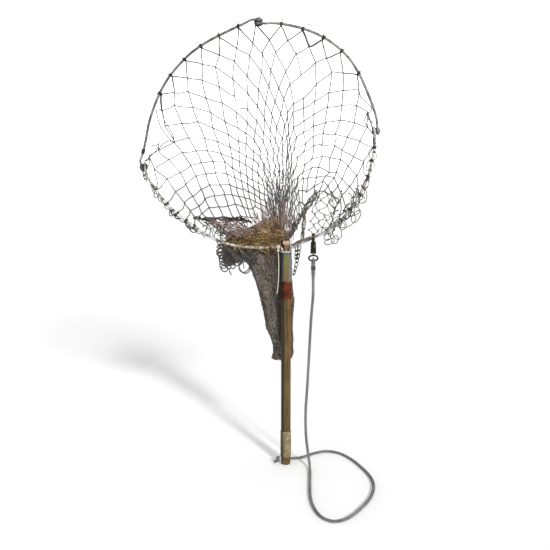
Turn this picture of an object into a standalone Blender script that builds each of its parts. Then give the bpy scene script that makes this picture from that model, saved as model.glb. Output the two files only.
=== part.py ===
"""Landing net: a wooden pole with a metal ferrule, a round wire hoop in four hinged sections, a hung net
bag behind it, and a rope lanyard with a bolt snap that hooks over the rim.

Metres, +Z up. The pole's axis is the Z axis and its butt end stands on z = 0. The hoop stands in the
plane y = 0, and the bag hangs on its +Y side.
"""

import math

import bmesh
import bpy
from mathutils import Matrix, Vector

# Hoop: four wire sections between a left, a top and a right eye joint and the ferrule.
WIRE_RADIUS = 0.003
EYE_RING = 0.008
EYE_STOCK = 0.0032
EYE_OFFSET = 0.0040
LEFT_JOINT = Vector((-0.339, 0.0, 0.740))
TOP_JOINT = Vector((-0.065, 0.0, 1.0716))
RIGHT_JOINT = Vector((0.211, 0.0, 0.824))
CHORD = (RIGHT_JOINT - LEFT_JOINT).normalized()
CHORD_UP = Vector((-CHORD.z, 0.0, CHORD.x))
RIVET_RADIUS = 0.0043
RIVET_HEAD = 0.0074
RIVET_HEAD_HEIGHT = 0.0016
JOINT_GAP = 0.0004

# Pole, ferrule and what is fitted in the ferrule.
POLE_RADIUS = 0.012
POLE_TOP = 0.484
BUTT_FLAT_RADIUS = 0.0088
BUTT_ROUNDING = 0.007
FERRULE_INNER = 0.0123
FERRULE_OUTER = 0.0132
FERRULE_BOTTOM = 0.4668
FERRULE_TOP = 0.5408
LIP_INNER = 0.0135
LIP_OUTER = 0.0142
LIP_HEIGHT = 0.0045
TANG_OFFSET = 0.0088
TANG_BOTTOM = 0.490
WEDGE_HALF_WIDTH = 0.0050
WEDGE_HALF_DEPTH = 0.0062
WEDGE_HEAD_HALF_WIDTH = 0.0080
WEDGE_BOTTOM = 0.4945
WEDGE_HEAD_BOTTOM = 0.5560
WEDGE_TOP = 0.5645
PIN_RADIUS = 0.0015
PIN_HOLE_RADIUS = 0.0019
PIN_HALF_LENGTH = 0.0140
PIN_HEIGHT = 0.4755
TAPE_INNER = 0.0123
RED_TAPE = (0.4245, 0.4660, 0.0129)
GRIP_TAPE = (0.0185, 0.0880, 0.0134)

# Rope lanyard, from a hole in the butt to the bolt snap on the rim.
ROPE_RADIUS = 0.003
ROPE_HOLE_RADIUS = 0.0037
ROPE_HOLE_HEIGHT = 0.0140
KNOT_CENTRE = Vector((-0.0197, 0.0, 0.0118))
KNOT_RADII = Vector((0.0070, 0.0066, 0.0086))
TIE_RADIUS = 0.0014
TIE_BEAD_DROP = 0.0088
TIE_BEAD_RADII = Vector((0.0032, 0.0030, 0.0042))
TIE_CORD_DROP = 0.0048

# Bolt snap, measured down from the centre of the rim wire that it hangs on.
SNAP_X = 0.0655
ARCH_RISE = 0.0022
ARCH_RADIUS = 0.0067
HOOK_STOCK = 0.0025
HOOK_WIDENING = 1.5
HOOK_BACK = ((0.0, 0.0066, -0.0040), (0.0, 0.0050, -0.0090), (0.0, 0.0018, -0.0135))
SNAP_BODY_Y = -0.0025
SNAP_BODY_TOP = -0.0100
SNAP_BODY_BOTTOM = -0.0380
SNAP_BODY_RADII = (0.0072, 0.0062)
SNAP_BODY_DEPTH_SCALE = 1.28
BOLT_RADIUS = 0.0022
BOLT_BORE_RADIUS = 0.0026
BOLT_TOP = 0.0006
BOLT_BOTTOM = -0.0168
BORE_BOTTOM = -0.0300
BOLT_TRAVEL = 0.0080
STUD_RADIUS = 0.0013
STUD_Z = -0.0142
STUD_Y = -0.0100
STUD_LENGTH = 0.0075
BUTTON_Y = -0.0138
BUTTON_RADIUS = 0.0024
BUTTON_THICKNESS = 0.0018
SWIVEL_CHAMBER = (-0.0352, -0.0318, 0.0032)
SWIVEL_NECK_HOLE = 0.0021
SWIVEL_SHANK = 0.0016
SWIVEL_HEAD_RADIUS = 0.0027
SWIVEL_HEAD_HEIGHT = 0.0024
SWIVEL_HEAD_DROP = 0.0012
RING_CENTRE_Z = -0.0495
RING_HALF_WIDTH = 0.0110
RING_HALF_HEIGHT = 0.0065
RING_STOCK = 0.0021
SPLICE_TOP = -0.0605
SPLICE_BOTTOM = -0.1000
SPLICE_RADII = (0.0036, 0.0054)

# Net bag: rings from the rim inset through the throat to the tail's end.
NET_THICKNESS = 0.003
NET_COLUMNS = 36
NET_CENTRE = Vector((-0.0596, 0.0, 0.8054))
NET_RIM_SCALE = 0.952
NET_RIM_Y = 0.0092
NET_RIM_STEPS = 5
NET_BOW = 1.3
NET_SPLIT_GAP = 0.0006
TAIL_SPLIT_Z = 0.470
# Each ring: z, centre x, half-width, centre y, half-depth.
NET_RINGS = (
    (0.540, -0.058, 0.108, 0.0425, 0.0240),
    (0.505, -0.042, 0.075, 0.0425, 0.0240),
    (0.470, -0.033, 0.052, 0.0430, 0.0240),
    (0.430, -0.025, 0.041, 0.0430, 0.0240),
    (0.385, -0.0187, 0.036, 0.0430, 0.0240),
    (0.335, -0.017, 0.031, 0.0430, 0.0230),
    (0.300, -0.009, 0.026, 0.0430, 0.0220),
    (0.262, -0.0105, 0.023, 0.0430, 0.0190),
)
TAIL_END = Vector((-0.0105, 0.043, 0.256))
SNAP_NOTCH = ((0.043, -0.02, 0.44), (0.095, 0.036, 0.604))
BUNCH_CENTRE = Vector((-0.060, 0.034, 0.5835))
BUNCH_RADII = Vector((0.082, 0.0165, 0.0185))

ROUND_STEPS = 32
LEFT_LOWER_ROUTE = (
    (-0.3300, 0.7160),
    (-0.3110, 0.6850),
    (-0.2870, 0.6520),
    (-0.2520, 0.6200),
    (-0.2063, 0.5870),
    (-0.1600, 0.5630),
    (-0.1100, 0.5505),
    (-0.0632, 0.5480),
    (-0.0300, 0.5490),
)
RIGHT_LOWER_ROUTE = (
    (0.2100, 0.7930),
    (0.2050, 0.7650),
    (0.1960, 0.7240),
    (0.1820, 0.6880),
    (0.1580, 0.6450),
    (0.1270, 0.6090),
    (0.0950, 0.5860),
    (0.0655, 0.5718),
    (0.0321, 0.5570),
)
LEFT_UPPER_ROUTE = (
    (-0.3400, 0.7720),
    (-0.3323, 0.8032),
    (-0.3240, 0.8420),
    (-0.3111, 0.8795),
    (-0.2926, 0.9194),
    (-0.2685, 0.9553),
    (-0.2293, 0.9964),
    (-0.1863, 1.0263),
    (-0.1323, 1.0530),
    (-0.0990, 1.0680),
)
RIGHT_UPPER_ROUTE = (
    (0.2125, 0.8500),
    (0.2060, 0.8720),
    (0.1928, 0.9054),
    (0.1699, 0.9542),
    (0.1380, 0.9987),
    (0.0910, 1.0346),
    (0.0412, 1.0560),
    (-0.0023, 1.0660),
    (-0.0332, 1.0690),
)
ROPE_ROUTE = (
    (0.0655, -0.0025, 0.4300),
    (0.0610, -0.0050, 0.3700),
    (0.0570, -0.0080, 0.2900),
    (0.0530, -0.0090, 0.2100),
    (0.0490, -0.0080, 0.1350),
    (0.0505, -0.0100, 0.0750),
    (0.0560, -0.0160, 0.0300),
    (0.0590, -0.0330, 0.0080),
    (0.0580, -0.0700, 0.0033),
    (0.0548, -0.1350, 0.0033),
    (0.0530, -0.2000, 0.0033),
    (0.0590, -0.2560, 0.0033),
    (0.0740, -0.2980, 0.0033),
    (0.0990, -0.3150, 0.0033),
    (0.1300, -0.2980, 0.0033),
    (0.1610, -0.2540, 0.0033),
    (0.1880, -0.2020, 0.0033),
    (0.2030, -0.1450, 0.0033),
    (0.2030, -0.0930, 0.0033),
    (0.1900, -0.0400, 0.0033),
    (0.1680, 0.0180, 0.0033),
    (0.1400, 0.0600, 0.0033),
    (0.1080, 0.0730, 0.0033),
    (0.0790, 0.0620, 0.0033),
    (0.0540, 0.0400, 0.0040),
    (0.0380, 0.0180, 0.0080),
    (0.0270, 0.0050, 0.0125),
)
TIE_ROUTE = (
    (-0.0184, -0.0010, 0.5220),
    (-0.0180, -0.0020, 0.5080),
    (-0.0180, -0.0024, 0.4940),
    (-0.0183, -0.0022, 0.4800),
    (-0.0190, -0.0018, 0.4640),
    (-0.0204, -0.0012, 0.4490),
    (-0.0218, -0.0010, 0.4360),
)
TIE_KNOT_CENTRE = Vector((-0.0190, 0.0, 0.5489))


def clear_scene():
    for obj in list(bpy.data.objects):
        bpy.data.objects.remove(obj, do_unlink=True)


def new_collection(name):
    made = bpy.data.collections.new(name)
    bpy.context.scene.collection.children.link(made)
    return made


clear_scene()
PARTS = new_collection("landing_net")
CUTTERS = new_collection("cutters")


def material(name, colour, roughness, metallic=0.0):
    made = bpy.data.materials.new(name)
    made.use_nodes = True
    shader = made.node_tree.nodes["Principled BSDF"]
    shader.inputs["Base Color"].default_value = (*colour, 1.0)
    shader.inputs["Roughness"].default_value = roughness
    shader.inputs["Metallic"].default_value = metallic
    return made


STEEL = material("hoop_steel", (0.16, 0.16, 0.16), 0.45, 0.9)
RIVET_METAL = material("rivet_steel", (0.12, 0.12, 0.12), 0.5, 0.9)
WOOD = material("pole_wood", (0.24, 0.15, 0.06), 0.6)
WEDGE_WOOD = material("wedge_wood", (0.55, 0.40, 0.22), 0.7)
FERRULE_PAINT = material("ferrule_paint", (0.23, 0.24, 0.06), 0.5)
LIP_METAL = material("ferrule_lip_metal", (0.5, 0.5, 0.47), 0.4, 0.8)
RED_TAPE_CLOTH = material("red_tape", (0.16, 0.03, 0.01), 0.8)
GRIP_CLOTH = material("grip_cloth", (0.42, 0.34, 0.20), 0.9)
TWINE = material("net_twine", (0.20, 0.20, 0.19), 0.9)
BUNCH_TWINE = material("bunch_twine", (0.28, 0.19, 0.08), 0.9)
ROPE = material("rope", (0.24, 0.23, 0.21), 0.9)
TIE = material("tie_cord", (0.60, 0.55, 0.45), 0.9)
BRASS = material("snap_brass", (0.25, 0.20, 0.10), 0.4, 0.9)
SPRING_STEEL = material("spring_steel", (0.4, 0.4, 0.4), 0.35, 1.0)


def place(obj, collection, surface):
    """Puts an object in a collection with its one material, and shades a mesh smooth."""
    for old in list(obj.users_collection):
        old.objects.unlink(obj)
    collection.objects.link(obj)
    if surface is not None:
        obj.data.materials.clear()
        obj.data.materials.append(surface)
    if collection is CUTTERS:
        obj.hide_render = True
        obj.display_type = "WIRE"
    if obj.type == "MESH":
        obj.data.shade_smooth()
        obj.data.set_sharp_from_angle(angle=math.radians(40))
    return obj


def smooth_route(points, steps):
    """A Catmull-Rom curve through the points, with this many steps between each two."""
    route = [Vector(p) for p in points]
    ends = [2 * route[0] - route[1], *route, 2 * route[-1] - route[-2]]
    made = []
    for a, b, c, d in zip(ends, ends[1:], ends[2:], ends[3:]):
        for step in range(steps):
            t = step / steps
            made.append(
                0.5
                * (
                    2 * b
                    + (c - a) * t
                    + (2 * a - 5 * b + 4 * c - d) * t**2
                    + (3 * b - a - 3 * c + d) * t**3
                )
            )
    made.append(route[-1])
    return made


def tube(name, points, radius, surface, collection=PARTS, cyclic=False, resolution=2):
    """A round bar along the points, as a curve object."""
    data = bpy.data.curves.new(name, "CURVE")
    data.dimensions = "3D"
    data.bevel_depth = radius
    data.bevel_resolution = resolution
    data.use_fill_caps = not cyclic
    line = data.splines.new("POLY")
    line.points.add(len(points) - 1)
    for point, place_at in zip(line.points, points):
        point.co = (*place_at, 1.0)
    line.use_cyclic_u = cyclic
    return place(bpy.data.objects.new(name, data), collection, surface)


def as_mesh(curve, collection, surface):
    """Replaces a curve object with a closed mesh object of the same name."""
    bpy.context.view_layer.update()
    graph = bpy.context.evaluated_depsgraph_get()
    data = bpy.data.meshes.new_from_object(curve.evaluated_get(graph))
    name = curve.name
    bm = bmesh.new()
    bm.from_mesh(data)
    bmesh.ops.remove_doubles(bm, verts=bm.verts, dist=1e-6)
    bmesh.ops.recalc_face_normals(bm, faces=bm.faces)
    bm.to_mesh(data)
    bm.free()
    matrix = curve.matrix_world.copy()
    bpy.data.objects.remove(curve, do_unlink=True)
    made = bpy.data.objects.new(name, data)
    made.matrix_world = matrix
    return place(made, collection, surface)


def from_bmesh(name, bm, collection, surface):
    data = bpy.data.meshes.new(name)
    bmesh.ops.recalc_face_normals(bm, faces=bm.faces)
    bm.to_mesh(data)
    bm.free()
    return place(bpy.data.objects.new(name, data), collection, surface)


def cylinder(name, centre, axis, radius, length, collection=CUTTERS, surface=None, steps=ROUND_STEPS):
    """A cylinder about an axis, centred on a point. The radius may be a (bottom, top) pair."""
    bottom, top = radius if isinstance(radius, tuple) else (radius, radius)
    bm = bmesh.new()
    bmesh.ops.create_cone(bm, cap_ends=True, segments=steps, radius1=bottom, radius2=top, depth=length)
    obj = from_bmesh(name, bm, collection, surface)
    obj.rotation_mode = "QUATERNION"
    obj.rotation_quaternion = Vector(axis).to_track_quat("Z", "Y")
    obj.location = centre
    return obj


def box(name, low, high, collection=CUTTERS, surface=None):
    low, high = Vector(low), Vector(high)
    bm = bmesh.new()
    bmesh.ops.create_cube(bm, size=1.0)
    bmesh.ops.scale(bm, vec=high - low, verts=bm.verts)
    bmesh.ops.translate(bm, vec=(low + high) / 2, verts=bm.verts)
    return from_bmesh(name, bm, collection, surface)


def lump(name, centre, radii, surface, collection=PARTS, segments=16):
    """An egg-shaped solid."""
    bm = bmesh.new()
    bmesh.ops.create_uvsphere(bm, u_segments=segments, v_segments=segments * 2 // 3, radius=1.0)
    bmesh.ops.scale(bm, vec=radii, verts=bm.verts)
    bmesh.ops.translate(bm, vec=centre, verts=bm.verts)
    return from_bmesh(name, bm, collection, surface)


def ring(name, centre, axis, major, minor, collection=CUTTERS, surface=None, steps=18):
    """A torus about an axis."""
    bpy.ops.mesh.primitive_torus_add(
        major_segments=steps, minor_segments=8, major_radius=major, minor_radius=minor
    )
    obj = bpy.context.object
    obj.name = name
    obj.rotation_mode = "QUATERNION"
    obj.rotation_quaternion = Vector(axis).to_track_quat("Z", "Y")
    obj.location = centre
    return place(obj, collection, surface)


def turned(name, profile, surface, collection=PARTS, steps=ROUND_STEPS):
    """A solid of revolution about Z. The profile runs down its outer side, top to bottom, as (r, z)."""
    bm = bmesh.new()
    corners = [bm.verts.new((r, 0.0, z)) for r, z in profile]
    for a, b in zip(corners, corners[1:]):
        bm.edges.new((a, b))
    if profile[0][0] > 0:
        bm.edges.new((corners[-1], corners[0]))
    data = bpy.data.meshes.new(name)
    bm.to_mesh(data)
    bm.free()
    obj = place(bpy.data.objects.new(name, data), collection, surface)
    screw = obj.modifiers.new("turn", "SCREW")
    screw.steps = steps
    screw.render_steps = steps
    screw.use_merge_vertices = True
    screw.merge_threshold = 0.00001
    return obj


def tube_profile(inner, outer, low, high):
    """A plain sleeve's profile for turned()."""
    return ((inner, high), (outer, high), (outer, low), (inner, low))


def combine(obj, other, operation):
    modifier = obj.modifiers.new(other.name, "BOOLEAN")
    modifier.operation = operation
    modifier.solver = "EXACT"
    modifier.object = other
    return obj


def hang(pivot_name, where, objects, parent=None):
    """An empty on a joint's axis that carries the objects."""
    pivot = bpy.data.objects.new(pivot_name, None)
    PARTS.objects.link(pivot)
    pivot.empty_display_size = 0.02
    pivot.location = where
    bpy.context.view_layer.update()
    for obj in objects:
        obj.parent = pivot
        obj.matrix_parent_inverse = pivot.matrix_world.inverted()
    if parent is not None:
        pivot.parent = parent
        pivot.matrix_parent_inverse = parent.matrix_world.inverted()
    return pivot


def in_hoop_plane(points):
    return [Vector((x, 0.0, z)) for x, z in points]


def eye_centre(joint, axis, side):
    return joint + axis * side * EYE_OFFSET


def wire_section(name, route, eyes):
    """A length of rim wire, with an eye of the same stock joined on at each given centre."""
    wire = as_mesh(tube(name, smooth_route(route, 2), WIRE_RADIUS, STEEL), PARTS, STEEL)
    for index, (centre, axis) in enumerate(eyes):
        eye = ring(f"{name}_eye_{index}", centre, axis, EYE_RING, EYE_STOCK)
        combine(wire, eye, "UNION")
    return wire


def tang_route(side):
    """The bend from the rim down into the ferrule, on the side of x that is given."""
    return in_hoop_plane(
        (
            (side * 0.0170, 0.5487),
            (side * 0.0118, 0.5462),
            (side * TANG_OFFSET, 0.5400),
            (side * TANG_OFFSET, 0.5200),
            (side * TANG_OFFSET, TANG_BOTTOM),
        )
    )


UP = Vector((0.0, 0.0, 1.0))
ACROSS = Vector((1.0, 0.0, 0.0))
LEFT_LOWER_EYE = eye_centre(LEFT_JOINT, CHORD, 1)
LEFT_UPPER_EYE = eye_centre(LEFT_JOINT, CHORD, -1)
RIGHT_LOWER_EYE = eye_centre(RIGHT_JOINT, CHORD, -1)
RIGHT_UPPER_EYE = eye_centre(RIGHT_JOINT, CHORD, 1)
TOP_LEFT_EYE = eye_centre(TOP_JOINT, UP, 1)
TOP_RIGHT_EYE = eye_centre(TOP_JOINT, UP, -1)

LEFT_LOWER = [LEFT_LOWER_EYE - CHORD_UP * EYE_RING, *in_hoop_plane(LEFT_LOWER_ROUTE), *tang_route(-1)]
RIGHT_LOWER = [RIGHT_LOWER_EYE - CHORD_UP * EYE_RING, *in_hoop_plane(RIGHT_LOWER_ROUTE), *tang_route(1)]
LEFT_UPPER = [
    LEFT_UPPER_EYE + CHORD_UP * EYE_RING,
    *in_hoop_plane(LEFT_UPPER_ROUTE),
    TOP_LEFT_EYE - ACROSS * EYE_RING,
]
RIGHT_UPPER = [
    RIGHT_UPPER_EYE + CHORD_UP * EYE_RING,
    *in_hoop_plane(RIGHT_UPPER_ROUTE),
    TOP_RIGHT_EYE + ACROSS * EYE_RING,
]


def build_hoop_wires():
    """The hoop's four lengths of wire. Gives back the two that fold."""
    wire_section("lower_left_wire", LEFT_LOWER, [(LEFT_LOWER_EYE, CHORD)])
    wire_section("lower_right_wire", RIGHT_LOWER, [(RIGHT_LOWER_EYE, CHORD)])
    return [
        wire_section("upper_left_wire", LEFT_UPPER, [(LEFT_UPPER_EYE, CHORD), (TOP_LEFT_EYE, UP)]),
        wire_section("upper_right_wire", RIGHT_UPPER, [(RIGHT_UPPER_EYE, CHORD), (TOP_RIGHT_EYE, UP)]),
    ]


def build_rivet(name, joint, axis):
    """A rivet with a peened head at each end, and the washer between the two eyes."""
    half = EYE_OFFSET + EYE_STOCK + JOINT_GAP
    end = half + RIVET_HEAD_HEIGHT
    rivet = turned(
        f"{name}_rivet",
        (
            (0.0, end),
            (RIVET_HEAD * 0.7, end),
            (RIVET_HEAD, half + JOINT_GAP),
            (RIVET_HEAD, half),
            (RIVET_RADIUS, half),
            (RIVET_RADIUS, -half),
            (RIVET_HEAD, -half),
            (RIVET_HEAD, -half - JOINT_GAP),
            (RIVET_HEAD * 0.7, -end),
            (0.0, -end),
        ),
        RIVET_METAL,
        steps=20,
    )
    thickness = EYE_OFFSET - EYE_STOCK - JOINT_GAP
    washer = turned(
        f"{name}_washer",
        tube_profile(RIVET_RADIUS + JOINT_GAP, EYE_RING, -thickness, thickness),
        RIVET_METAL,
        steps=20,
    )
    for piece in (rivet, washer):
        piece.rotation_mode = "QUATERNION"
        piece.rotation_quaternion = axis.to_track_quat("Z", "Y")
        piece.location = joint
    return [rivet, washer]


def build_pole():
    """The pole with its rounded butt, the lanyard hole across it and the ferrule's pin hole."""
    corners = 4
    rounding = [
        (
            BUTT_FLAT_RADIUS + (POLE_RADIUS - BUTT_FLAT_RADIUS) * math.cos(step / corners * math.pi / 2),
            BUTT_ROUNDING * (1 - math.sin(step / corners * math.pi / 2)),
        )
        for step in range(corners + 1)
    ]
    pole = turned("handle_pole", ((0.0, POLE_TOP), (POLE_RADIUS, POLE_TOP), *rounding, (0.0, 0.0)), WOOD)
    hole = cylinder(
        "rope_hole", (0.0, 0.0, ROPE_HOLE_HEIGHT), ACROSS, ROPE_HOLE_RADIUS, 4 * POLE_RADIUS, steps=20
    )
    combine(pole, hole, "DIFFERENCE")
    pin_hole = cylinder(
        "pin_hole", (0.0, 0.0, PIN_HEIGHT), ACROSS, PIN_HOLE_RADIUS, 4 * POLE_RADIUS, steps=16
    )
    combine(pole, pin_hole, "DIFFERENCE")
    return pin_hole


def build_ferrule(pin_hole):
    tube_solid = turned(
        "ferrule_tube",
        tube_profile(FERRULE_INNER, FERRULE_OUTER, FERRULE_BOTTOM, FERRULE_TOP),
        FERRULE_PAINT,
    )
    combine(tube_solid, pin_hole, "DIFFERENCE")
    turned(
        "ferrule_lip",
        tube_profile(LIP_INNER, LIP_OUTER, FERRULE_TOP - LIP_HEIGHT, FERRULE_TOP),
        LIP_METAL,
    )
    cylinder(
        "ferrule_pin", (0.0, 0.0, PIN_HEIGHT), ACROSS, PIN_RADIUS, 2 * PIN_HALF_LENGTH, PARTS, RIVET_METAL, 16
    )


def build_wedge():
    """The wooden wedge driven between the two tangs, with a wider head."""
    outline = (
        (-WEDGE_HALF_WIDTH, WEDGE_BOTTOM),
        (WEDGE_HALF_WIDTH, WEDGE_BOTTOM),
        (WEDGE_HALF_WIDTH, WEDGE_HEAD_BOTTOM - 0.002),
        (WEDGE_HEAD_HALF_WIDTH, WEDGE_HEAD_BOTTOM),
        (WEDGE_HEAD_HALF_WIDTH - 0.001, WEDGE_TOP),
        (0.001 - WEDGE_HEAD_HALF_WIDTH, WEDGE_TOP),
        (-WEDGE_HEAD_HALF_WIDTH, WEDGE_HEAD_BOTTOM),
        (-WEDGE_HALF_WIDTH, WEDGE_HEAD_BOTTOM - 0.002),
    )
    data = bpy.data.curves.new("hoop_wedge", "CURVE")
    data.dimensions = "2D"
    data.fill_mode = "BOTH"
    data.extrude = WEDGE_HALF_DEPTH
    line = data.splines.new("POLY")
    line.points.add(len(outline) - 1)
    for point, (x, z) in zip(line.points, outline):
        point.co = (x, z, 0.0, 1.0)
    line.use_cyclic_u = True
    wedge = place(bpy.data.objects.new("hoop_wedge", data), PARTS, WEDGE_WOOD)
    wedge.rotation_euler = (math.pi / 2, 0.0, 0.0)


def build_tapes():
    for name, (low, high, outer), surface in (
        ("red_tape_band", RED_TAPE, RED_TAPE_CLOTH),
        ("grip_tape", GRIP_TAPE, GRIP_CLOTH),
    ):
        turned(name, tube_profile(TAPE_INNER, outer, low, high), surface)


def rim_point_at(x):
    """The lower right wire's centre and direction where it passes this x."""
    route = smooth_route(RIGHT_LOWER[:-4], 8)
    for a, b in zip(route, route[1:]):
        if min(a.x, b.x) <= x <= max(a.x, b.x) and a.z < LEFT_JOINT.z:
            share = (x - a.x) / (b.x - a.x)
            return a.lerp(b, share), (a - b).normalized()
    raise ValueError("no rim point at that x")


SNAP_CENTRE, SNAP_AXIS = rim_point_at(SNAP_X)


def at_snap(x, y, z):
    return SNAP_CENTRE + Vector((x, y, z))


def hook_route():
    """The hook's centre line: from the tip over the wire, and down the back into the body."""
    steps = 8
    arch = [
        (0.0, -ARCH_RADIUS * math.cos(turn), ARCH_RISE + ARCH_RADIUS * math.sin(turn))
        for turn in (math.pi * i / steps for i in range(steps + 1))
    ]
    return [Vector(p) for p in (*arch, *HOOK_BACK)]


def build_snap_body():
    """The hook and the body that guides the bolt and holds the swivel, as one casting."""
    hook = tube("snap_hook", hook_route(), HOOK_STOCK, BRASS, CUTTERS)
    hook = as_mesh(hook, CUTTERS, BRASS)
    hook.scale = (HOOK_WIDENING, 1.0, 1.0)
    hook.location = SNAP_CENTRE
    height = SNAP_BODY_TOP - SNAP_BODY_BOTTOM
    middle = at_snap(0.0, SNAP_BODY_Y, (SNAP_BODY_TOP + SNAP_BODY_BOTTOM) / 2)
    body = cylinder("snap_hook_body", middle, UP, SNAP_BODY_RADII, height, PARTS, BRASS, 24)
    body.scale = (1.0, SNAP_BODY_DEPTH_SCALE, 1.0)
    combine(body, hook, "UNION")
    bore_height = SNAP_BODY_TOP - BORE_BOTTOM + 0.004
    bore = cylinder(
        "bolt_bore",
        at_snap(0.0, -ARCH_RADIUS, BORE_BOTTOM + bore_height / 2),
        UP,
        BOLT_BORE_RADIUS,
        bore_height,
        steps=16,
    )
    low = at_snap(-STUD_RADIUS - JOINT_GAP, -0.02, STUD_Z - BOLT_TRAVEL - STUD_RADIUS - JOINT_GAP)
    high = at_snap(STUD_RADIUS + JOINT_GAP, -ARCH_RADIUS, SNAP_BODY_TOP + 0.004)
    slot = box("stud_slot", low, high)
    chamber_low, chamber_high, chamber_radius = SWIVEL_CHAMBER
    chamber = cylinder(
        "swivel_chamber",
        at_snap(0.0, SNAP_BODY_Y, (chamber_low + chamber_high) / 2),
        UP,
        chamber_radius,
        chamber_high - chamber_low,
        steps=16,
    )
    neck = cylinder(
        "swivel_neck_hole", at_snap(0.0, SNAP_BODY_Y, SNAP_BODY_BOTTOM), UP, SWIVEL_NECK_HOLE, 0.008, steps=16
    )
    for cutter in (bore, slot, chamber, neck):
        combine(body, cutter, "DIFFERENCE")
    return body


def build_snap_bolt():
    """The sliding bolt with its thumb stud."""
    middle = at_snap(0.0, -ARCH_RADIUS, (BOLT_TOP + BOLT_BOTTOM) / 2)
    bolt = cylinder("snap_bolt", middle, UP, BOLT_RADIUS, BOLT_TOP - BOLT_BOTTOM, PARTS, BRASS, 12)
    stud_at = at_snap(0.0, STUD_Y, STUD_Z)
    stud = cylinder("thumb_stud", stud_at, (0, 1, 0), STUD_RADIUS, STUD_LENGTH, steps=12)
    button_at = at_snap(0.0, BUTTON_Y, STUD_Z)
    button = cylinder("thumb_button", button_at, (0, 1, 0), BUTTON_RADIUS, BUTTON_THICKNESS, steps=16)
    combine(bolt, stud, "UNION")
    combine(bolt, button, "UNION")
    return bolt


def build_spring():
    turns = 6
    steps = 8
    radius = 0.0017
    wire = 0.00035
    low = BORE_BOTTOM + wire + 0.0003
    high = BOLT_BOTTOM - wire - 0.0003
    points = [
        at_snap(
            radius * math.cos(2 * math.pi * i / steps),
            -ARCH_RADIUS + radius * math.sin(2 * math.pi * i / steps),
            low + (high - low) * i / (turns * steps),
        )
        for i in range(turns * steps + 1)
    ]
    return tube("snap_spring", points, wire, SPRING_STEEL, resolution=1)


def build_swivel():
    """The swivel: a headed shank with an oval ring below it."""
    steps = 20
    points = [
        at_snap(
            RING_HALF_WIDTH * math.cos(2 * math.pi * i / steps),
            SNAP_BODY_Y,
            RING_CENTRE_Z + RING_HALF_HEIGHT * math.sin(2 * math.pi * i / steps),
        )
        for i in range(steps)
    ]
    eye = as_mesh(tube("swivel_eye", points, RING_STOCK, BRASS, cyclic=True), PARTS, BRASS)
    top = SWIVEL_CHAMBER[1] - 0.0004
    shank_bottom = RING_CENTRE_Z + RING_HALF_HEIGHT
    shank = cylinder(
        "swivel_shank",
        at_snap(0.0, SNAP_BODY_Y, (top + shank_bottom) / 2 - 0.0005),
        UP,
        SWIVEL_SHANK,
        top - shank_bottom - 0.001,
        steps=12,
    )
    head_at = at_snap(0.0, SNAP_BODY_Y, top - SWIVEL_HEAD_DROP)
    head = cylinder("swivel_head", head_at, UP, SWIVEL_HEAD_RADIUS, SWIVEL_HEAD_HEIGHT, steps=16)
    combine(eye, shank, "UNION")
    combine(eye, head, "UNION")
    return eye


def build_splice():
    """The eye splice: the rope's end taken round the ring's lower bar and laid back into the rope."""
    bar_z = RING_CENTRE_Z - RING_HALF_HEIGHT
    height = SPLICE_TOP - SPLICE_BOTTOM
    splice = cylinder(
        "rope_eye_splice",
        at_snap(0.0, SNAP_BODY_Y, (SPLICE_TOP + SPLICE_BOTTOM) / 2),
        UP,
        SPLICE_RADII,
        height,
        PARTS,
        ROPE,
        16,
    )
    loop_radius = RING_STOCK + ROPE_RADIUS + 0.0005
    loop = ring("splice_loop", at_snap(0.0, SNAP_BODY_Y, bar_z), ACROSS, loop_radius, ROPE_RADIUS)
    return combine(splice, loop, "UNION")


def build_rope():
    """The lanyard, from the splice down, round on the floor and into the butt's hole."""
    top = at_snap(0.0, SNAP_BODY_Y, SPLICE_BOTTOM - 0.0003)
    mouth, inside, end = (Vector((x, 0.0, ROPE_HOLE_HEIGHT)) for x in (0.0150, 0.0080, -0.0112))
    outside = smooth_route([top, *ROPE_ROUTE, mouth], 3)
    tube("lanyard_rope", [*outside, inside, end], ROPE_RADIUS, ROPE)
    lump("stopper_knot", KNOT_CENTRE, KNOT_RADII, ROPE, segments=12)


def build_tie():
    """A thin cord knotted round the rim wire beside the ferrule, with its end hanging."""
    knot_radius = WIRE_RADIUS + TIE_RADIUS + 0.0005
    knot = ring("tie_knot", TIE_KNOT_CENTRE, ACROSS, knot_radius, TIE_RADIUS, PARTS, TIE)
    below = TIE_KNOT_CENTRE - Vector((0.0, 0.0, TIE_BEAD_DROP))
    bead = lump("tie_knot_bead", below, TIE_BEAD_RADII, TIE, CUTTERS, 12)
    combine(knot, bead, "UNION")
    top = below - Vector((0.0, 0.0, TIE_CORD_DROP))
    tube("tie_cord", smooth_route([top, *TIE_ROUTE], 3), TIE_RADIUS, TIE)


def rim_radius_at(angle, outline):
    """The distance from the hoop's centre to its wire in this direction."""
    direction = Vector((math.cos(angle), 0.0, math.sin(angle)))
    best = 0.0
    for a, b in zip(outline, outline[1:] + outline[:1]):
        edge = b - a
        across = direction.x * edge.z - direction.z * edge.x
        if abs(across) < 1e-12:
            continue
        offset = a - NET_CENTRE
        reach = (offset.x * edge.z - offset.z * edge.x) / across
        share = (offset.x * direction.z - offset.z * direction.x) / across
        if reach > best and 0.0 <= share <= 1.0:
            best = reach
    return best


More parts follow.
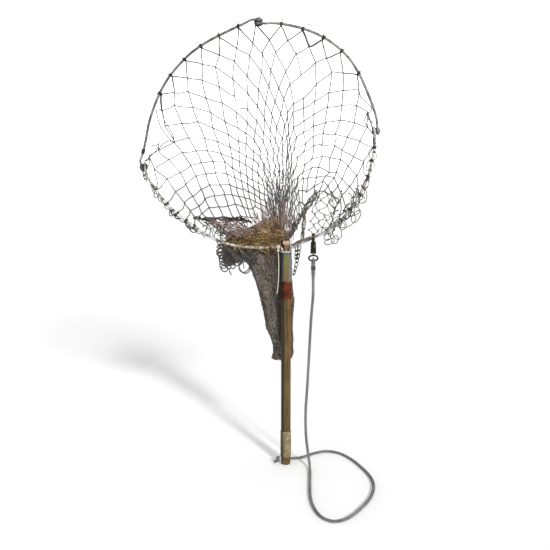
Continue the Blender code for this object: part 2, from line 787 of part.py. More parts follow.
def net_rings():
    """The bag's rings of points, from just inside the rim through the throat down to the tail's end."""
    outline = (
        smooth_route(LEFT_LOWER[:-5], 2)[::-1]
        + smooth_route(LEFT_UPPER, 2)
        + smooth_route(RIGHT_UPPER, 2)[::-1]
        + smooth_route(RIGHT_LOWER[:-5], 2)
    )
    angles = [2 * math.pi * i / NET_COLUMNS for i in range(NET_COLUMNS)]
    rim = []
    for angle in angles:
        reach = rim_radius_at(angle, outline) * NET_RIM_SCALE
        rim.append(NET_CENTRE + Vector((math.cos(angle) * reach, NET_RIM_Y, math.sin(angle) * reach)))
    ellipses = [
        [
            Vector((x + half_width * math.cos(angle), y + half_depth * math.sin(angle), z))
            for angle in angles
        ]
        for z, x, half_width, y, half_depth in NET_RINGS
    ]
    rings = [rim]
    for step in range(1, NET_RIM_STEPS):
        share = step / NET_RIM_STEPS
        level = []
        for start, end in zip(rim, ellipses[0]):
            point = start.lerp(end, share)
            point.y = start.y + (end.y - start.y) * share**NET_BOW
            level.append(point)
        rings.append(level)
    return rings + ellipses


def copy_of(obj, name):
    made = obj.copy()
    made.data = obj.data.copy()
    made.name = name
    PARTS.objects.link(made)
    return made


def build_net():
    """One shell from rim to tail, split along the line through the two hinge joints and above the tail."""
    bm = bmesh.new()
    rows = [[bm.verts.new(point) for point in level] for level in net_rings()]
    for row, following in zip(rows, rows[1:]):
        for i in range(NET_COLUMNS):
            j = (i + 1) % NET_COLUMNS
            bm.faces.new((row[i], row[j], following[j], following[i]))
    tip = bm.verts.new(TAIL_END)
    for i in range(NET_COLUMNS):
        bm.faces.new((rows[-1][i], rows[-1][(i + 1) % NET_COLUMNS], tip))
    lower = from_bmesh("net_lower", bm, PARTS, TWINE)
    solidify = lower.modifiers.new("thickness", "SOLIDIFY")
    solidify.thickness = NET_THICKNESS
    solidify.offset = 0.0
    upper = copy_of(lower, "net_upper")
    tail = copy_of(lower, "net_tail")
    tilt = Matrix.Rotation(-math.atan2(CHORD.z, CHORD.x), 4, "Y")
    half_gap = NET_SPLIT_GAP / 2
    for name, obj, low, high, at in (
        ("above_chord", lower, -half_gap, 1.0, Matrix.Translation(LEFT_JOINT) @ tilt),
        ("below_chord", upper, -1.0, half_gap, Matrix.Translation(LEFT_JOINT) @ tilt),
        ("above_tail", tail, TAIL_SPLIT_Z - half_gap, 2.0, Matrix.Identity(4)),
        ("below_skirt", lower, -1.0, TAIL_SPLIT_Z + half_gap, Matrix.Identity(4)),
    ):
        cutter = box(name, (-1.0, -0.5, low), (1.0, 0.5, high))
        cutter.matrix_world = at
        combine(obj, cutter, "DIFFERENCE")
    combine(lower, box("snap_notch", *SNAP_NOTCH), "DIFFERENCE")
    lump("inner_net_bunch", BUNCH_CENTRE, BUNCH_RADII, BUNCH_TWINE)
    return upper


def main():
    upper_wires = build_hoop_wires()
    build_rivet("left_hinge", LEFT_JOINT, CHORD)
    build_rivet("right_hinge", RIGHT_JOINT, CHORD)
    top_joint = build_rivet("top_joint", TOP_JOINT, UP)
    pin_hole = build_pole()
    build_ferrule(pin_hole)
    build_wedge()
    build_tapes()
    net_upper = build_net()
    build_rope()
    build_tie()
    hang("hoop_fold", (LEFT_JOINT + RIGHT_JOINT) / 2, [*upper_wires, *top_joint, net_upper])
    swing = hang("snap_swing", SNAP_CENTRE, [build_snap_body(), build_spring()])
    hang("snap_bolt_slide", at_snap(0.0, -ARCH_RADIUS, BOLT_TOP), [build_snap_bolt()], swing)
    swivel_at = at_snap(0.0, SNAP_BODY_Y, RING_CENTRE_Z)
    hang("snap_swivel", swivel_at, [build_swivel(), build_splice()], swing)


main()
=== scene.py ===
import math

import bpy
import numpy as np
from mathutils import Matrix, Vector


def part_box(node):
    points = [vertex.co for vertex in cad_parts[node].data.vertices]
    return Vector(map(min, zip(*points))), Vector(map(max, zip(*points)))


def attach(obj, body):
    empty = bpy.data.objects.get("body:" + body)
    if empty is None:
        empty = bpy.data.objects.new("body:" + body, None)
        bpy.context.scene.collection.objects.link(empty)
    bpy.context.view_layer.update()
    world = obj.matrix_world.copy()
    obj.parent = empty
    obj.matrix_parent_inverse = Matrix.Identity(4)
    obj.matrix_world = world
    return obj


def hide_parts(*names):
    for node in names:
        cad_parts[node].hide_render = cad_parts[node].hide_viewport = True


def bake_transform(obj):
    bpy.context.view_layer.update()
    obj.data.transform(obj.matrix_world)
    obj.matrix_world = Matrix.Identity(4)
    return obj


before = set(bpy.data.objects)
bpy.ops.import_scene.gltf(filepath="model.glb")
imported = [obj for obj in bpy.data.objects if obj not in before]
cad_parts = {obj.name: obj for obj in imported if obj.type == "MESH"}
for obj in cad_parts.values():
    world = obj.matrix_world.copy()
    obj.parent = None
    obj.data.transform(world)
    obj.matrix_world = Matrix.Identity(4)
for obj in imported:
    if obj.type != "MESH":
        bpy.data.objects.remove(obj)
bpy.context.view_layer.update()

# ---------------------------------------------------------------- routes and sizes, in metres
WIRE_RADIUS = 0.003
EYE_RADIUS = 0.008
EYE_OFFSET = 0.004
LEFT_JOINT = np.array((-0.339, 0.0, 0.74))
TOP_JOINT = np.array((-0.065, 0.0, 1.0716))
RIGHT_JOINT = np.array((0.211, 0.0, 0.824))
CHORD = (RIGHT_JOINT - LEFT_JOINT) / np.linalg.norm(RIGHT_JOINT - LEFT_JOINT)
CHORD_UP = np.array((-CHORD[2], 0.0, CHORD[0]))
ACROSS, BEHIND, UP = np.eye(3)
TANG_OFFSET = 0.0088
TANG_BOTTOM = 0.49
# Each wire's (x, z) points between its ends.
ROUTES = {
    ("lower", "left"): (
        (-0.33, 0.716), (-0.311, 0.685), (-0.287, 0.652), (-0.252, 0.62), (-0.2063, 0.587),
        (-0.16, 0.563), (-0.11, 0.5505), (-0.0632, 0.548), (-0.03, 0.549),
    ),
    ("lower", "right"): (
        (0.21, 0.793), (0.205, 0.765), (0.196, 0.724), (0.182, 0.688), (0.158, 0.645),
        (0.127, 0.609), (0.095, 0.586), (0.0655, 0.5718), (0.0321, 0.557),
    ),
    ("upper", "left"): (
        (-0.34, 0.772), (-0.3323, 0.8032), (-0.324, 0.842), (-0.3111, 0.8795), (-0.2926, 0.9194),
        (-0.2685, 0.9553), (-0.2293, 0.9964), (-0.1863, 1.0263), (-0.1323, 1.053), (-0.099, 1.068),
    ),
    ("upper", "right"): (
        (0.2125, 0.85), (0.206, 0.872), (0.1928, 0.9054), (0.1699, 0.9542), (0.138, 0.9987),
        (0.091, 1.0346), (0.0412, 1.056), (-0.0023, 1.066), (-0.0332, 1.069),
    ),
}
ROPE_RADIUS = 0.003
ROPE_ROUTE = (
    (0.0655, -0.0025, 0.4715), (0.0655, -0.0025, 0.43), (0.061, -0.005, 0.37),
    (0.057, -0.008, 0.29), (0.053, -0.009, 0.21), (0.049, -0.008, 0.135),
    (0.0505, -0.01, 0.075), (0.056, -0.016, 0.03), (0.059, -0.033, 0.008),
    (0.058, -0.07, 0.0033), (0.0548, -0.135, 0.0033), (0.053, -0.2, 0.0033),
    (0.059, -0.256, 0.0033), (0.074, -0.298, 0.0033), (0.099, -0.315, 0.0033),
    (0.13, -0.298, 0.0033), (0.161, -0.254, 0.0033), (0.188, -0.202, 0.0033),
    (0.203, -0.145, 0.0033), (0.203, -0.093, 0.0033), (0.19, -0.04, 0.0033),
    (0.168, 0.018, 0.0033), (0.14, 0.06, 0.0033), (0.108, 0.073, 0.0033),
    (0.079, 0.062, 0.0033), (0.054, 0.04, 0.004), (0.038, 0.018, 0.008),
    (0.027, 0.005, 0.0125), (0.015, 0.0, 0.014),
)
ROPE_END = ((0.008, 0.0, 0.014), (-0.0112, 0.0, 0.014))
TIE_RADIUS = 0.0014
TIE_ROUTE = (
    (-0.019, 0.0, 0.5353), (-0.0184, -0.001, 0.522), (-0.018, -0.002, 0.508),
    (-0.018, -0.0024, 0.494), (-0.0183, -0.0022, 0.48), (-0.019, -0.0018, 0.464),
    (-0.0204, -0.0012, 0.449), (-0.0218, -0.001, 0.436),
)
TIE_KNOT_CENTRE = np.array((-0.019, 0.0, 0.5489))
NET_CENTRE = np.array((-0.0596, 0.0, 0.8054))


# ---------------------------------------------------------------- small geometry helpers
def unit(v):
    return v / np.maximum(np.linalg.norm(v, axis=-1, keepdims=True), 1e-12)


def xyz(x, y, z):
    """Points from their coordinates, each of them an array or one number."""
    return np.stack(np.broadcast_arrays(x, y, z), axis=-1)


def circle(count):
    """Angles in equal steps once round."""
    return 2 * np.pi * np.arange(count) / count


def smooth_route(points, steps):
    """A Catmull-Rom curve through the points, with this many steps between each two."""
    route = np.asarray(points, float)
    ends = np.vstack([2 * route[0] - route[1], route, 2 * route[-1] - route[-2]])
    t = (np.arange(steps) / steps)[:, None]
    made = [
        0.5 * (2 * b + (c - a) * t + (2 * a - 5 * b + 4 * c - d) * t**2 + (3 * b - a - 3 * c + d) * t**3)
        for a, b, c, d in zip(ends, ends[1:], ends[2:], ends[3:])
    ]
    return np.vstack([*made, route[-1:]])


def lengths(points):
    return np.r_[0.0, np.cumsum(np.linalg.norm(np.diff(points, axis=0), axis=1))]


def resampled(points, count):
    """The same line as this many evenly spaced points."""
    points = np.asarray(points, float)
    along = lengths(points)
    at = np.linspace(0.0, along[-1], count)
    return xyz(*(np.interp(at, along, points[:, k]) for k in range(3)))


def frames_along(lines):
    """Two normals, carried along each of n lines of k points without twisting."""
    tangents = unit(np.gradient(lines, axis=1))
    first = tangents[:, 0]
    normal = unit(np.cross(first, np.where(np.abs(first[:, 2:3]) < 0.9, UP, ACROSS)))
    normals = np.empty_like(lines)
    for j in range(lines.shape[1]):
        t = tangents[:, j]
        normal = unit(normal - (normal * t).sum(1, keepdims=True) * t)
        normals[:, j] = normal
    return normals, np.cross(tangents, normals)


def around(line, angle, reach):
    """A line that winds round another at an angle and a distance for each point."""
    normals, binormals = frames_along(line[None])
    across, up = (reach * np.cos(angle))[:, None], (reach * np.sin(angle))[:, None]
    return line + across * normals[0] + up * binormals[0]


class Build:
    """Gathers closed tubes and lofts into one mesh, with a UV map in metres along each strand."""

    def __init__(self):
        self.points, self.loops, self.sizes, self.uvs, self.tones = [], [], [], [], []
        self.count = 0

    def rings(self, rings, tone=0.0, cyclic=False):
        """Joins rings of points, shaped (strands, rings, sides, 3), into closed tubes."""
        n, k, sides, _ = rings.shape
        steps = np.linalg.norm(np.diff(rings.mean(2), axis=1), axis=2)
        along = np.concatenate([np.zeros((n, 1)), np.cumsum(steps, axis=1)], axis=1)
        index = self.count + np.arange(n * k * sides).reshape(n, k, sides)
        side = np.arange(sides)
        last = k if cyclic else k - 1
        a, b = index[:, :last], np.roll(index, -1, axis=1)[:, :last]
        va, vb = along[:, :last], np.roll(along, -1, axis=1)[:, :last]
        after = (side + 1) % sides
        quads = np.stack([a[:, :, side], a[:, :, after], b[:, :, after], b[:, :, side]], axis=-1)
        uv = np.empty((*quads.shape, 2))
        uv[..., 0] = np.stack([side, side + 1, side + 1, side], axis=-1) / sides
        uv[..., 1] = np.stack([va, va, vb, vb], axis=-1)[:, :, None, :]
        self.points.append(rings.reshape(-1, 3))
        self.tones.append(np.broadcast_to(np.reshape(tone, (-1, 1, 1)), (n, k, sides)).reshape(-1))
        self.loops.append(quads.reshape(-1))
        self.sizes.append(np.full(quads.size // 4, 4))
        self.uvs.append(uv.reshape(-1, 2))
        if not cyclic:
            for ends, v in ((index[:, 0, ::-1], along[:, 0]), (index[:, -1], along[:, -1])):
                self.loops.append(ends.reshape(-1))
                self.sizes.append(np.full(n, sides))
                self.uvs.append(np.stack([np.full(n * sides, 0.5), np.repeat(v, sides)], axis=1))
        self.count += n * k * sides
        return self

    def strands(self, lines, radius, sides=6, tone=0.0, cyclic=False):
        """Round strands along lines of points, shaped (k, 3) or (n, k, 3)."""
        lines = np.asarray(lines, float)
        lines = lines[None] if lines.ndim == 2 else lines
        radius = np.asarray(radius, float)
        radius = np.broadcast_to(radius[:, None] if radius.ndim == 1 else radius, lines.shape[:2])
        normals, binormals = frames_along(lines)
        angles = circle(sides)[:, None]
        offset = np.cos(angles) * normals[:, :, None] + np.sin(angles) * binormals[:, :, None]
        return self.rings(lines[:, :, None] + radius[:, :, None, None] * offset, tone, cyclic)

    def finish(self, name, surface, slot, body=None, *replaced):
        """The mesh as a piece with its body and the CAD nodes that it replaces; the slot is not used."""
        sizes = np.concatenate(self.sizes)
        mesh = bpy.data.meshes.new(name)
        mesh.vertices.add(self.count)
        mesh.vertices.foreach_set("co", np.concatenate(self.points).astype(np.float32).ravel())
        mesh.loops.add(sizes.sum())
        mesh.loops.foreach_set("vertex_index", np.concatenate(self.loops).astype(np.int32))
        mesh.polygons.add(len(sizes))
        mesh.polygons.foreach_set("loop_start", np.r_[0, np.cumsum(sizes)[:-1]].astype(np.int32))
        layer = mesh.uv_layers.new(name="strand")
        layer.data.foreach_set("uv", np.concatenate(self.uvs).astype(np.float32).ravel())
        tones = mesh.attributes.new("tone", "FLOAT", "POINT")
        tones.data.foreach_set("value", np.concatenate(self.tones).astype(np.float32))
        mesh.update(calc_edges=True)
        mesh.validate()
        mesh.shade_smooth()
        mesh.materials.append(surface)
        piece = bpy.data.objects.new(name, mesh)
        bpy.context.scene.collection.objects.link(piece)
        if body:
            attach(piece, body)
        if replaced:
            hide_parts(*replaced)
        return piece


# ---------------------------------------------------------------- materials
def srgb(r, g, b):
    """A colour as seen on screen, as the linear value that a shader takes."""
    return tuple(c / 12.92 if c <= 0.04045 else ((c + 0.055) / 1.055) ** 2.4 for c in (r, g, b)) + (1.0,)


def between(a, b):
    return tuple((p + q) / 2 for p, q in zip(a, b))


class Value:
    """A node's output that takes arithmetic: each sign adds a node to the material."""

    def __init__(self, surface, socket):
        self.surface = surface
        self.socket = socket

    def __add__(self, other):
        return self.surface.calc("ADD", self, other)

    def __sub__(self, other):
        return self.surface.calc("SUBTRACT", self, other)

    def __mul__(self, other):
        return self.surface.calc("MULTIPLY", self, other)


class Surface:
    """A Principled material with short ways to add the nodes that drive it. Colours are as on screen."""

    def __init__(self, name, roughness=0.7, metallic=0.0, specular=0.3):
        self.material = bpy.data.materials.new(name)
        self.material.use_nodes = True
        self.tree = self.material.node_tree
        self.shader = self.tree.nodes["Principled BSDF"]
        self.drive("Roughness", roughness)
        self.drive("Metallic", metallic)
        self.drive("Specular IOR Level", specular)
        self.coords = self.node("TexCoord", {}, "Object")
        self.base = None

    def put(self, socket, value):
        if isinstance(value, Value):
            self.tree.links.new(value.socket, socket)
        else:
            socket.default_value = srgb(*value) if socket.type == "RGBA" and len(value) == 3 else value

    def drive(self, name, value):
        self.put(self.shader.inputs[name], value)

    def node(self, kind, inputs, output=0, **settings):
        """Adds a node with these inputs and settings, and gives one of its outputs."""
        node = self.tree.nodes.new("ShaderNode" + kind)
        for key, value in settings.items():
            setattr(node, key, value)
        for key, value in inputs.items():
            self.put(node.inputs[key], value)
        return Value(self, node.outputs[output])

    def calc(self, operation, a, b=0.0, clamp=False):
        return self.node("Math", {0: a, 1: b}, operation=operation, use_clamp=clamp)

    def tone(self):
        return self.node("Attribute", {}, "Fac", attribute_name="tone")

    def split(self, vector):
        first = self.node("SeparateXYZ", {0: vector})
        return [Value(self, socket) for socket in first.socket.node.outputs]

    def stretch(self, *scale):
        return self.node("Mapping", {"Vector": self.coords, "Scale": scale})

    def noise(self, scale, detail=4.0, vector=None, distortion=0.0, roughness=0.55):
        inputs = {"Scale": scale, "Detail": detail, "Roughness": roughness, "Distortion": distortion}
        return self.node("TexNoise", {"Vector": vector or self.coords, **inputs})

    def cells(self, scale, vector, feature="F1"):
        return self.node("TexVoronoi", {"Vector": vector, "Scale": scale}, "Distance", feature=feature)

    def ramp(self, factor, *stops):
        """Colours or greys by factor: each stop is (position, colour)."""
        made = self.node("ValToRGB", {0: factor})
        points = made.socket.node.color_ramp.elements
        while len(points) < len(stops):
            points.new(0.5)
        for point, (position, colour) in zip(points, stops):
            colour = colour if isinstance(colour, tuple) else (colour, colour, colour, 1.0)
            point.position = position
            point.color = srgb(*colour) if len(colour) == 3 else colour
        return made

    def step(self, factor, low, high):
        """0 below low, 1 above high, as a ramp."""
        return self.ramp(factor, (low, 0.0), (high, 1.0))

    def span(self, value, low, high):
        """0 at low, 1 at high; low may be the larger."""
        return self.node("MapRange", {"Value": value, "From Min": low, "From Max": high})

    def mix(self, factor, a, b):
        return self.node("Mix", {"Factor": factor, 6: a, 7: b}, 2, data_type="RGBA")

    def cover(self, mask, colour, strength=None):
        """Lays a colour over the base where the mask is high."""
        self.base = self.mix(mask * strength if strength else mask, self.base, colour)

    def wave(self, value, turns=1.0):
        return self.calc("SINE", value * (2 * math.pi * turns))

    def strand(self):
        """How far round and how far along a strand, from its UV map."""
        return self.split(self.node("UVMap", {}, uv_map="strand"))[:2]

    def bump(self, height, distance, strength=1.0):
        normal = self.shader.inputs["Normal"]
        inputs = {"Strength": strength, "Distance": distance, "Height": height}
        if normal.links:
            inputs["Normal"] = Value(self, normal.links[0].from_socket)
        self.put(normal, self.node("Bump", inputs))

    def done(self):
        self.drive("Base Color", self.base)
        return self.material


def twine_surface(name, dark, light, twist=160.0, middle=None):
    """Twisted cord: its colour runs from dark to light by strand and by patches."""
    made = Surface(name, 0.85, specular=0.2)
    middle = middle or between(srgb(*dark), srgb(*light))
    fibres = made.noise(900.0, 2.0)
    u, v = made.strand()
    lay = made.wave(u * 2.0 + v * twist)
    amount = made.tone() + (made.noise(22.0, 3.0) - 0.5) * 0.9 + (fibres - 0.5) * 0.5
    amount = made.calc("ADD", amount, lay * 0.12, clamp=True)
    made.base = made.ramp(amount, (0.0, dark), (0.5, middle), (1.0, light))
    made.bump(lay + fibres * 1.2, 0.0003)
    return made.done()


def wire_surface(name, base, wear_colour_and_left_shade, wear):
    """Old wire: dull grey with pale worn paint and rust spots."""
    made = Surface(name, 0.4, 0.55, 0.5)
    fine = made.noise(420.0, 5.0)
    mask = made.step(made.noise(38.0, 4.0) + (fine - 0.5) * 0.6, wear - 0.06, wear + 0.06)
    made.base = made.mix(mask, wear_colour_and_left_shade, base)
    made.cover(made.step(made.noise(75.0, 6.0, roughness=0.7), 0.6, 0.72), (0.3, 0.2, 0.13), 0.55)
    made.drive("Roughness", made.ramp(fine, (0.3, 0.32), (0.7, 0.58)))
    made.bump(fine, 0.00025, 0.6)
    return made.done()


def wood_surface():
    """Old varnished pole: tan, with olive streaks, dark stains and flecks, and painted shade down its left
    side.
    """
    made = Surface("worn_wood", 0.6, specular=0.2)
    x, _, z = made.split(made.coords)
    grain = made.noise(420.0, 6.0, made.stretch(1.0, 1.0, 0.045), distortion=0.6)
    broad = made.noise(120.0, 3.0, made.stretch(1.0, 1.0, 0.03))
    tan = made.ramp(grain, (0.25, (0.25, 0.17, 0.09)), (0.5, (0.4, 0.29, 0.15)), (0.8, (0.5, 0.38, 0.21)))
    olive = made.ramp(grain, (0.25, (0.14, 0.13, 0.07)), (0.5, (0.26, 0.24, 0.13)), (0.8, (0.36, 0.33, 0.19)))
    streaks = made.step(broad + x * -16.0, 0.4, 0.62)
    low = made.span(z + broad * 0.1, 0.36, 0.16)
    made.base = made.mix(made.calc("MAXIMUM", streaks, low * 0.55), tan, olive)
    stain = made.step(made.noise(60.0, 5.0, made.stretch(1.0, 1.0, 0.25)), 0.55, 0.7)
    made.cover(stain, (0.16, 0.11, 0.06), 0.55)
    flecks = made.ramp(made.cells(210.0, made.stretch(1.0, 1.0, 0.5)), (0.05, 1.0), (0.14, 0.0))
    made.cover(flecks * made.step(made.noise(35.0, 2.0), 0.5, 0.6), (0.12, 0.08, 0.05))
    # Painted shade: the pole's left side is darkened in its colour, as if it were turned away from the light.
    made.cover(made.span(x + (broad - 0.5) * 0.01, -0.003, -0.0068), (0.14, 0.115, 0.075), 0.88)
    made.cover(made.span(z, 0.02, 0.01), (0.38, 0.29, 0.17), 0.75)
    for height in (0.2405, 0.2385, 0.396):
        made.cover(made.span(made.calc("ABSOLUTE", z - height), 0.0009, 0.0002), (0.15, 0.11, 0.06), 0.6)
    made.drive("Roughness", made.ramp(grain, (0.2, 0.72), (0.8, 0.5)))
    made.bump(grain, 0.0006, 0.6)
    return made.done()


def wedge_surface():
    """Raw wood, paler on the head."""
    made = Surface("raw_wood", 0.75)
    grain = made.noise(500.0, 5.0, made.stretch(1.0, 1.0, 0.12))
    z = made.split(made.coords)[2]
    made.base = made.ramp(grain, (0.3, (0.5, 0.42, 0.33)), (0.7, (0.74, 0.68, 0.6)))
    made.cover(made.span(z, 0.557, 0.555),
               made.ramp(grain, (0.3, (0.34, 0.26, 0.16)), (0.7, (0.52, 0.42, 0.28))))
    made.bump(grain, 0.0005)
    return made.done()


def ferrule_surface():
    """Worn paint on sheet metal: green above, ochre below, bare grey metal down both sides, painted darker on
    the left as shade and paler on the right as a highlight, and a painted shade band under the lip.
    """
    made = Surface("worn_paint", 0.42, specular=0.5)
    x, _, z = made.split(made.coords)
    wobble = made.noise(85.0, 5.0) - 0.5
    fine = made.noise(520.0, 4.0)
    made.base = made.ramp(
        made.span(z + wobble * 0.05, 0.4668, 0.5408), (0.0, (0.37, 0.26, 0.13)), (0.28, (0.39, 0.31, 0.13)),
        (0.62, (0.37, 0.37, 0.15)), (1.0, (0.33, 0.36, 0.16)),
    )
    made.cover(made.ramp(fine, (0.35, 0.35), (0.7, 0.0)), (0.3, 0.28, 0.14))
    across = x + wobble * 0.004
    left = made.span(across, -0.0056, -0.0072)
    right = made.span(across, 0.0066, 0.0086)
    # Bare grey metal down both sides: darker on the left as painted shade, paler on the right as a painted
    # highlight.
    made.cover(left, (0.25, 0.25, 0.27))
    made.cover(right, (0.5, 0.51, 0.54))
    # Painted shade: a dark band just under the lip.
    made.cover(made.span(z, 0.531, 0.533) * made.span(z, 0.5372, 0.5352), (0.22, 0.22, 0.24), 0.8)
    chips = made.step(made.noise(190.0, 6.0, roughness=0.7), 0.6, 0.68)
    made.cover(chips, (0.4, 0.36, 0.34), 0.6)
    made.drive("Metallic", made.calc("MAXIMUM", left, right))
    made.drive("Roughness", made.ramp(fine, (0.3, 0.3), (0.75, 0.55)))
    made.bump(fine + chips, 0.00025, 0.7)
    return made.done()


def metal_surface(name, dark, light, roughness, metallic=0.9):
    """Bare metal, darker in its patina and paler where it rubs."""
    made = Surface(name, roughness, metallic, 0.5)
    fine = made.noise(900.0, 4.0)
    patina = made.noise(170.0, 5.0) + (fine - 0.5) * 0.4
    made.base = made.ramp(patina, (0.35, dark), (0.55, dark), (0.72, light))
    made.drive("Roughness", made.ramp(fine, (0.25, roughness - 0.12), (0.75, roughness + 0.15)))
    made.bump(fine, 0.0002, 0.7)
    return made.done()


def cloth_tape_surface(name, dark, light):
    """Old cloth tape: a fine weave, wrinkles and grime, and painted shade down its left side."""
    made = Surface(name, 0.9, specular=0.15)
    u, v = made.strand()
    dark, light = srgb(*dark), srgb(*light)
    wrinkles = made.noise(240.0, 5.0, made.stretch(1.0, 1.0, 2.2), distortion=1.2)
    grime = made.noise(70.0, 5.0, roughness=0.65)
    made.base = made.ramp(
        grime * 0.7 + wrinkles * 0.5, (0.42, dark), (0.62, between(dark, light)), (0.8, light)
    )
    # Painted shade: the tape's left side is darkened in its colour, with a ragged edge taken from the grime
    # noise.
    wear_colour_and_left_shade = made.span(made.split(made.coords)[0] + (grime - 0.5) * 0.012, -0.0025, -0.008)
    made.cover(wear_colour_and_left_shade, tuple(0.35 * part for part in dark[:3]) + (1.0,), 0.72)
    made.bump(wrinkles, 0.0009, 0.8)
    made.bump(made.wave(u, 90) * made.wave(v, 1500), 0.0001, 0.6)
    return made.done()


def mat_surface(name, dark, light, patches=()):
    """Matted fibre of criss-crossed fine threads.

    Each coloured patch is its height and reach, its x and reach, its colour and its strength.
    """
    made = Surface(name, 0.95, specular=0.1)
    x, _, z = made.split(made.coords)
    threads_a = made.noise(260.0, 6.0, made.stretch(1.0, 0.6, 0.32), distortion=2.5)
    threads_b = made.noise(330.0, 6.0, made.stretch(0.35, 0.6, 1.0), distortion=2.5)
    veins = made.step(made.cells(95.0, made.stretch(1.0, 0.6, 0.7), "DISTANCE_TO_EDGE"), 0.0, 0.1)
    both = made.calc("MAXIMUM", threads_a, threads_b) - made.calc("SUBTRACT", 1.0, veins) * 0.12
    brightest = tuple(min(1.0, c * 1.5) for c in srgb(*light))
    made.base = made.ramp(both, (0.4, dark), (0.6, light), (0.72, brightest))
    wander = made.ramp(made.noise(26.0, 3.0), (0.35, 0.2), (0.6, 1.0))
    for height, z_reach, side, x_reach, tint, strength in patches:
        near_z = made.span(made.calc("ABSOLUTE", z - height), z_reach, z_reach * 0.3)
        near_x = made.span(made.calc("ABSOLUTE", x - side), x_reach, x_reach * 0.3)
        made.cover(near_z * near_x * wander, tint, strength)
    made.bump(both, 0.0022)
    return made.done()


NET_TWINE = twine_surface("net_twine_fibres", (0.2, 0.19, 0.18), (0.5, 0.49, 0.48))
LACING_TWINE = twine_surface("lacing_twine", (0.14, 0.13, 0.12), (0.44, 0.41, 0.36))
BROWN_TWINE = twine_surface("brown_twine", (0.2, 0.15, 0.09), (0.82, 0.72, 0.54), 160.0, (0.52, 0.4, 0.25))
MAUVE_TWINE = twine_surface("mauve_twine", (0.29, 0.24, 0.23), (0.68, 0.6, 0.57))
FUZZ_TWINE = twine_surface("fuzz_threads", (0.16, 0.14, 0.12), (0.64, 0.58, 0.44), 60.0, (0.36, 0.32, 0.26))
ROPE_FIBRE = twine_surface("rope_fibre", (0.24, 0.24, 0.24), (0.58, 0.58, 0.58), 220.0)
TIE_FIBRE = twine_surface("tie_fibre", (0.62, 0.58, 0.5), (0.93, 0.91, 0.85), 260.0)
UPPER_WIRE = wire_surface("grey_wire", (0.32, 0.32, 0.32), (0.5, 0.49, 0.48), 0.52)
LOWER_WIRE = wire_surface("pale_wire", (0.32, 0.31, 0.3), (0.74, 0.73, 0.71), 0.53)
RIVET_METAL = metal_surface("dull_rivet", (0.24, 0.23, 0.22), (0.52, 0.5, 0.47), 0.5)
BRONZE = metal_surface("old_bronze", (0.13, 0.11, 0.09), (0.58, 0.48, 0.28), 0.42, 0.85)
LIP_METAL = metal_surface("pale_metal", (0.62, 0.62, 0.63), (0.88, 0.87, 0.86), 0.36, 0.8)
SPRING_METAL = metal_surface("spring_wire", (0.45, 0.45, 0.46), (0.75, 0.75, 0.76), 0.35)
RED_CLOTH = cloth_tape_surface("red_cloth", (0.19, 0.08, 0.05), (0.45, 0.2, 0.12))
CREAM_CLOTH = cloth_tape_surface("cream_cloth", (0.27, 0.23, 0.15), (0.64, 0.59, 0.47))
HEAP_MAT = mat_surface("heap_mat_fibres", (0.16, 0.12, 0.07), (0.42, 0.33, 0.2), (
    (0.6, 0.03, -0.01, 0.04, (0.26, 0.24, 0.12), 0.5),
    (0.59, 0.02, -0.065, 0.035, (0.34, 0.2, 0.1), 0.4),
))
TAIL_MAT = mat_surface("tail_mat_fibres", (0.2, 0.175, 0.15), (0.46, 0.42, 0.38), (
    (0.555, 0.035, -0.03, 0.05, (0.25, 0.19, 0.1), 0.85),
    (0.505, 0.04, -0.035, 0.03, (0.28, 0.21, 0.13), 0.6),
    (0.5, 0.05, -0.078, 0.032, (0.52, 0.48, 0.44), 0.6),
    (0.44, 0.045, -0.044, 0.022, (0.5, 0.46, 0.4), 0.6),
    (0.37, 0.06, -0.042, 0.018, (0.54, 0.5, 0.49), 0.65),
    (0.395, 0.03, -0.016, 0.024, (0.42, 0.24, 0.17), 0.75),
    (0.325, 0.04, -0.01, 0.016, (0.3, 0.28, 0.13), 0.7),
    (0.278, 0.028, -0.012, 0.03, (0.5, 0.45, 0.42), 0.65),
))
SKIRT_MAT = mat_surface("skirt_mat_fibres", (0.2, 0.18, 0.15), (0.46, 0.42, 0.37))


def carry_over(surface, *nodes):
    """CAD nodes that stay, with their own detailed material."""
    for node in nodes:
        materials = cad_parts[node].data.materials
        materials.clear()
        materials.append(surface)


HINGES = [f"{joint}_{part}"
          for joint in ("left_hinge", "right_hinge", "top_joint") for part in ("rivet", "washer")]
carry_over(wood_surface(), "handle_pole")
carry_over(ferrule_surface(), "ferrule_tube")
carry_over(LIP_METAL, "ferrule_lip")
carry_over(RIVET_METAL, "ferrule_pin", *HINGES)
carry_over(BRONZE, "snap_hook_body", "snap_bolt", "swivel_eye")


# ---------------------------------------------------------------- camera, lights and floor
def put_in_scene(name, data, at=(0.0, 0.0, 0.0)):
    obj = bpy.data.objects.new(name, data)
    obj.location = at
    bpy.context.scene.collection.objects.link(obj)
    return obj


def build_studio():
    scene = bpy.context.scene
    scene.view_settings.view_transform = "Standard"
    lens = bpy.data.cameras.new("camera")
    lens.sensor_width = 36.0
    lens.lens = 49.09
    scene.camera = put_in_scene("camera", lens, (-0.027, -1.8, 0.75))
    scene.camera.rotation_euler = (math.radians(90 - 8.51), 0.0, 0.0)
    world = bpy.data.worlds.new("studio")
    world.use_nodes = True
    background = world.node_tree.nodes["Background"]
    background.inputs["Color"].default_value = (1.0, 1.0, 1.0, 1.0)
    background.inputs["Strength"].default_value = 0.57
    scene.world = world
    for name, kind, at, target, power, softness in (
        ("key", "SUN", (0.86, -1.74, 1.0), (0.0, 0.0, 0.0), 2.5, ("angle", math.radians(7))),
        ("fill", "AREA", (-2.2, -2.4, 2.2), (-0.05, 0.0, 0.6), 9.0, ("size", 2.0)),
    ):
        lamp = bpy.data.lights.new(name, kind)
        lamp.energy = power
        setattr(lamp, *softness)
        light = put_in_scene(name, lamp, at)
        light.rotation_mode = "QUATERNION"
        light.rotation_quaternion = (Vector(target) - Vector(at)).to_track_quat("-Z", "Y")


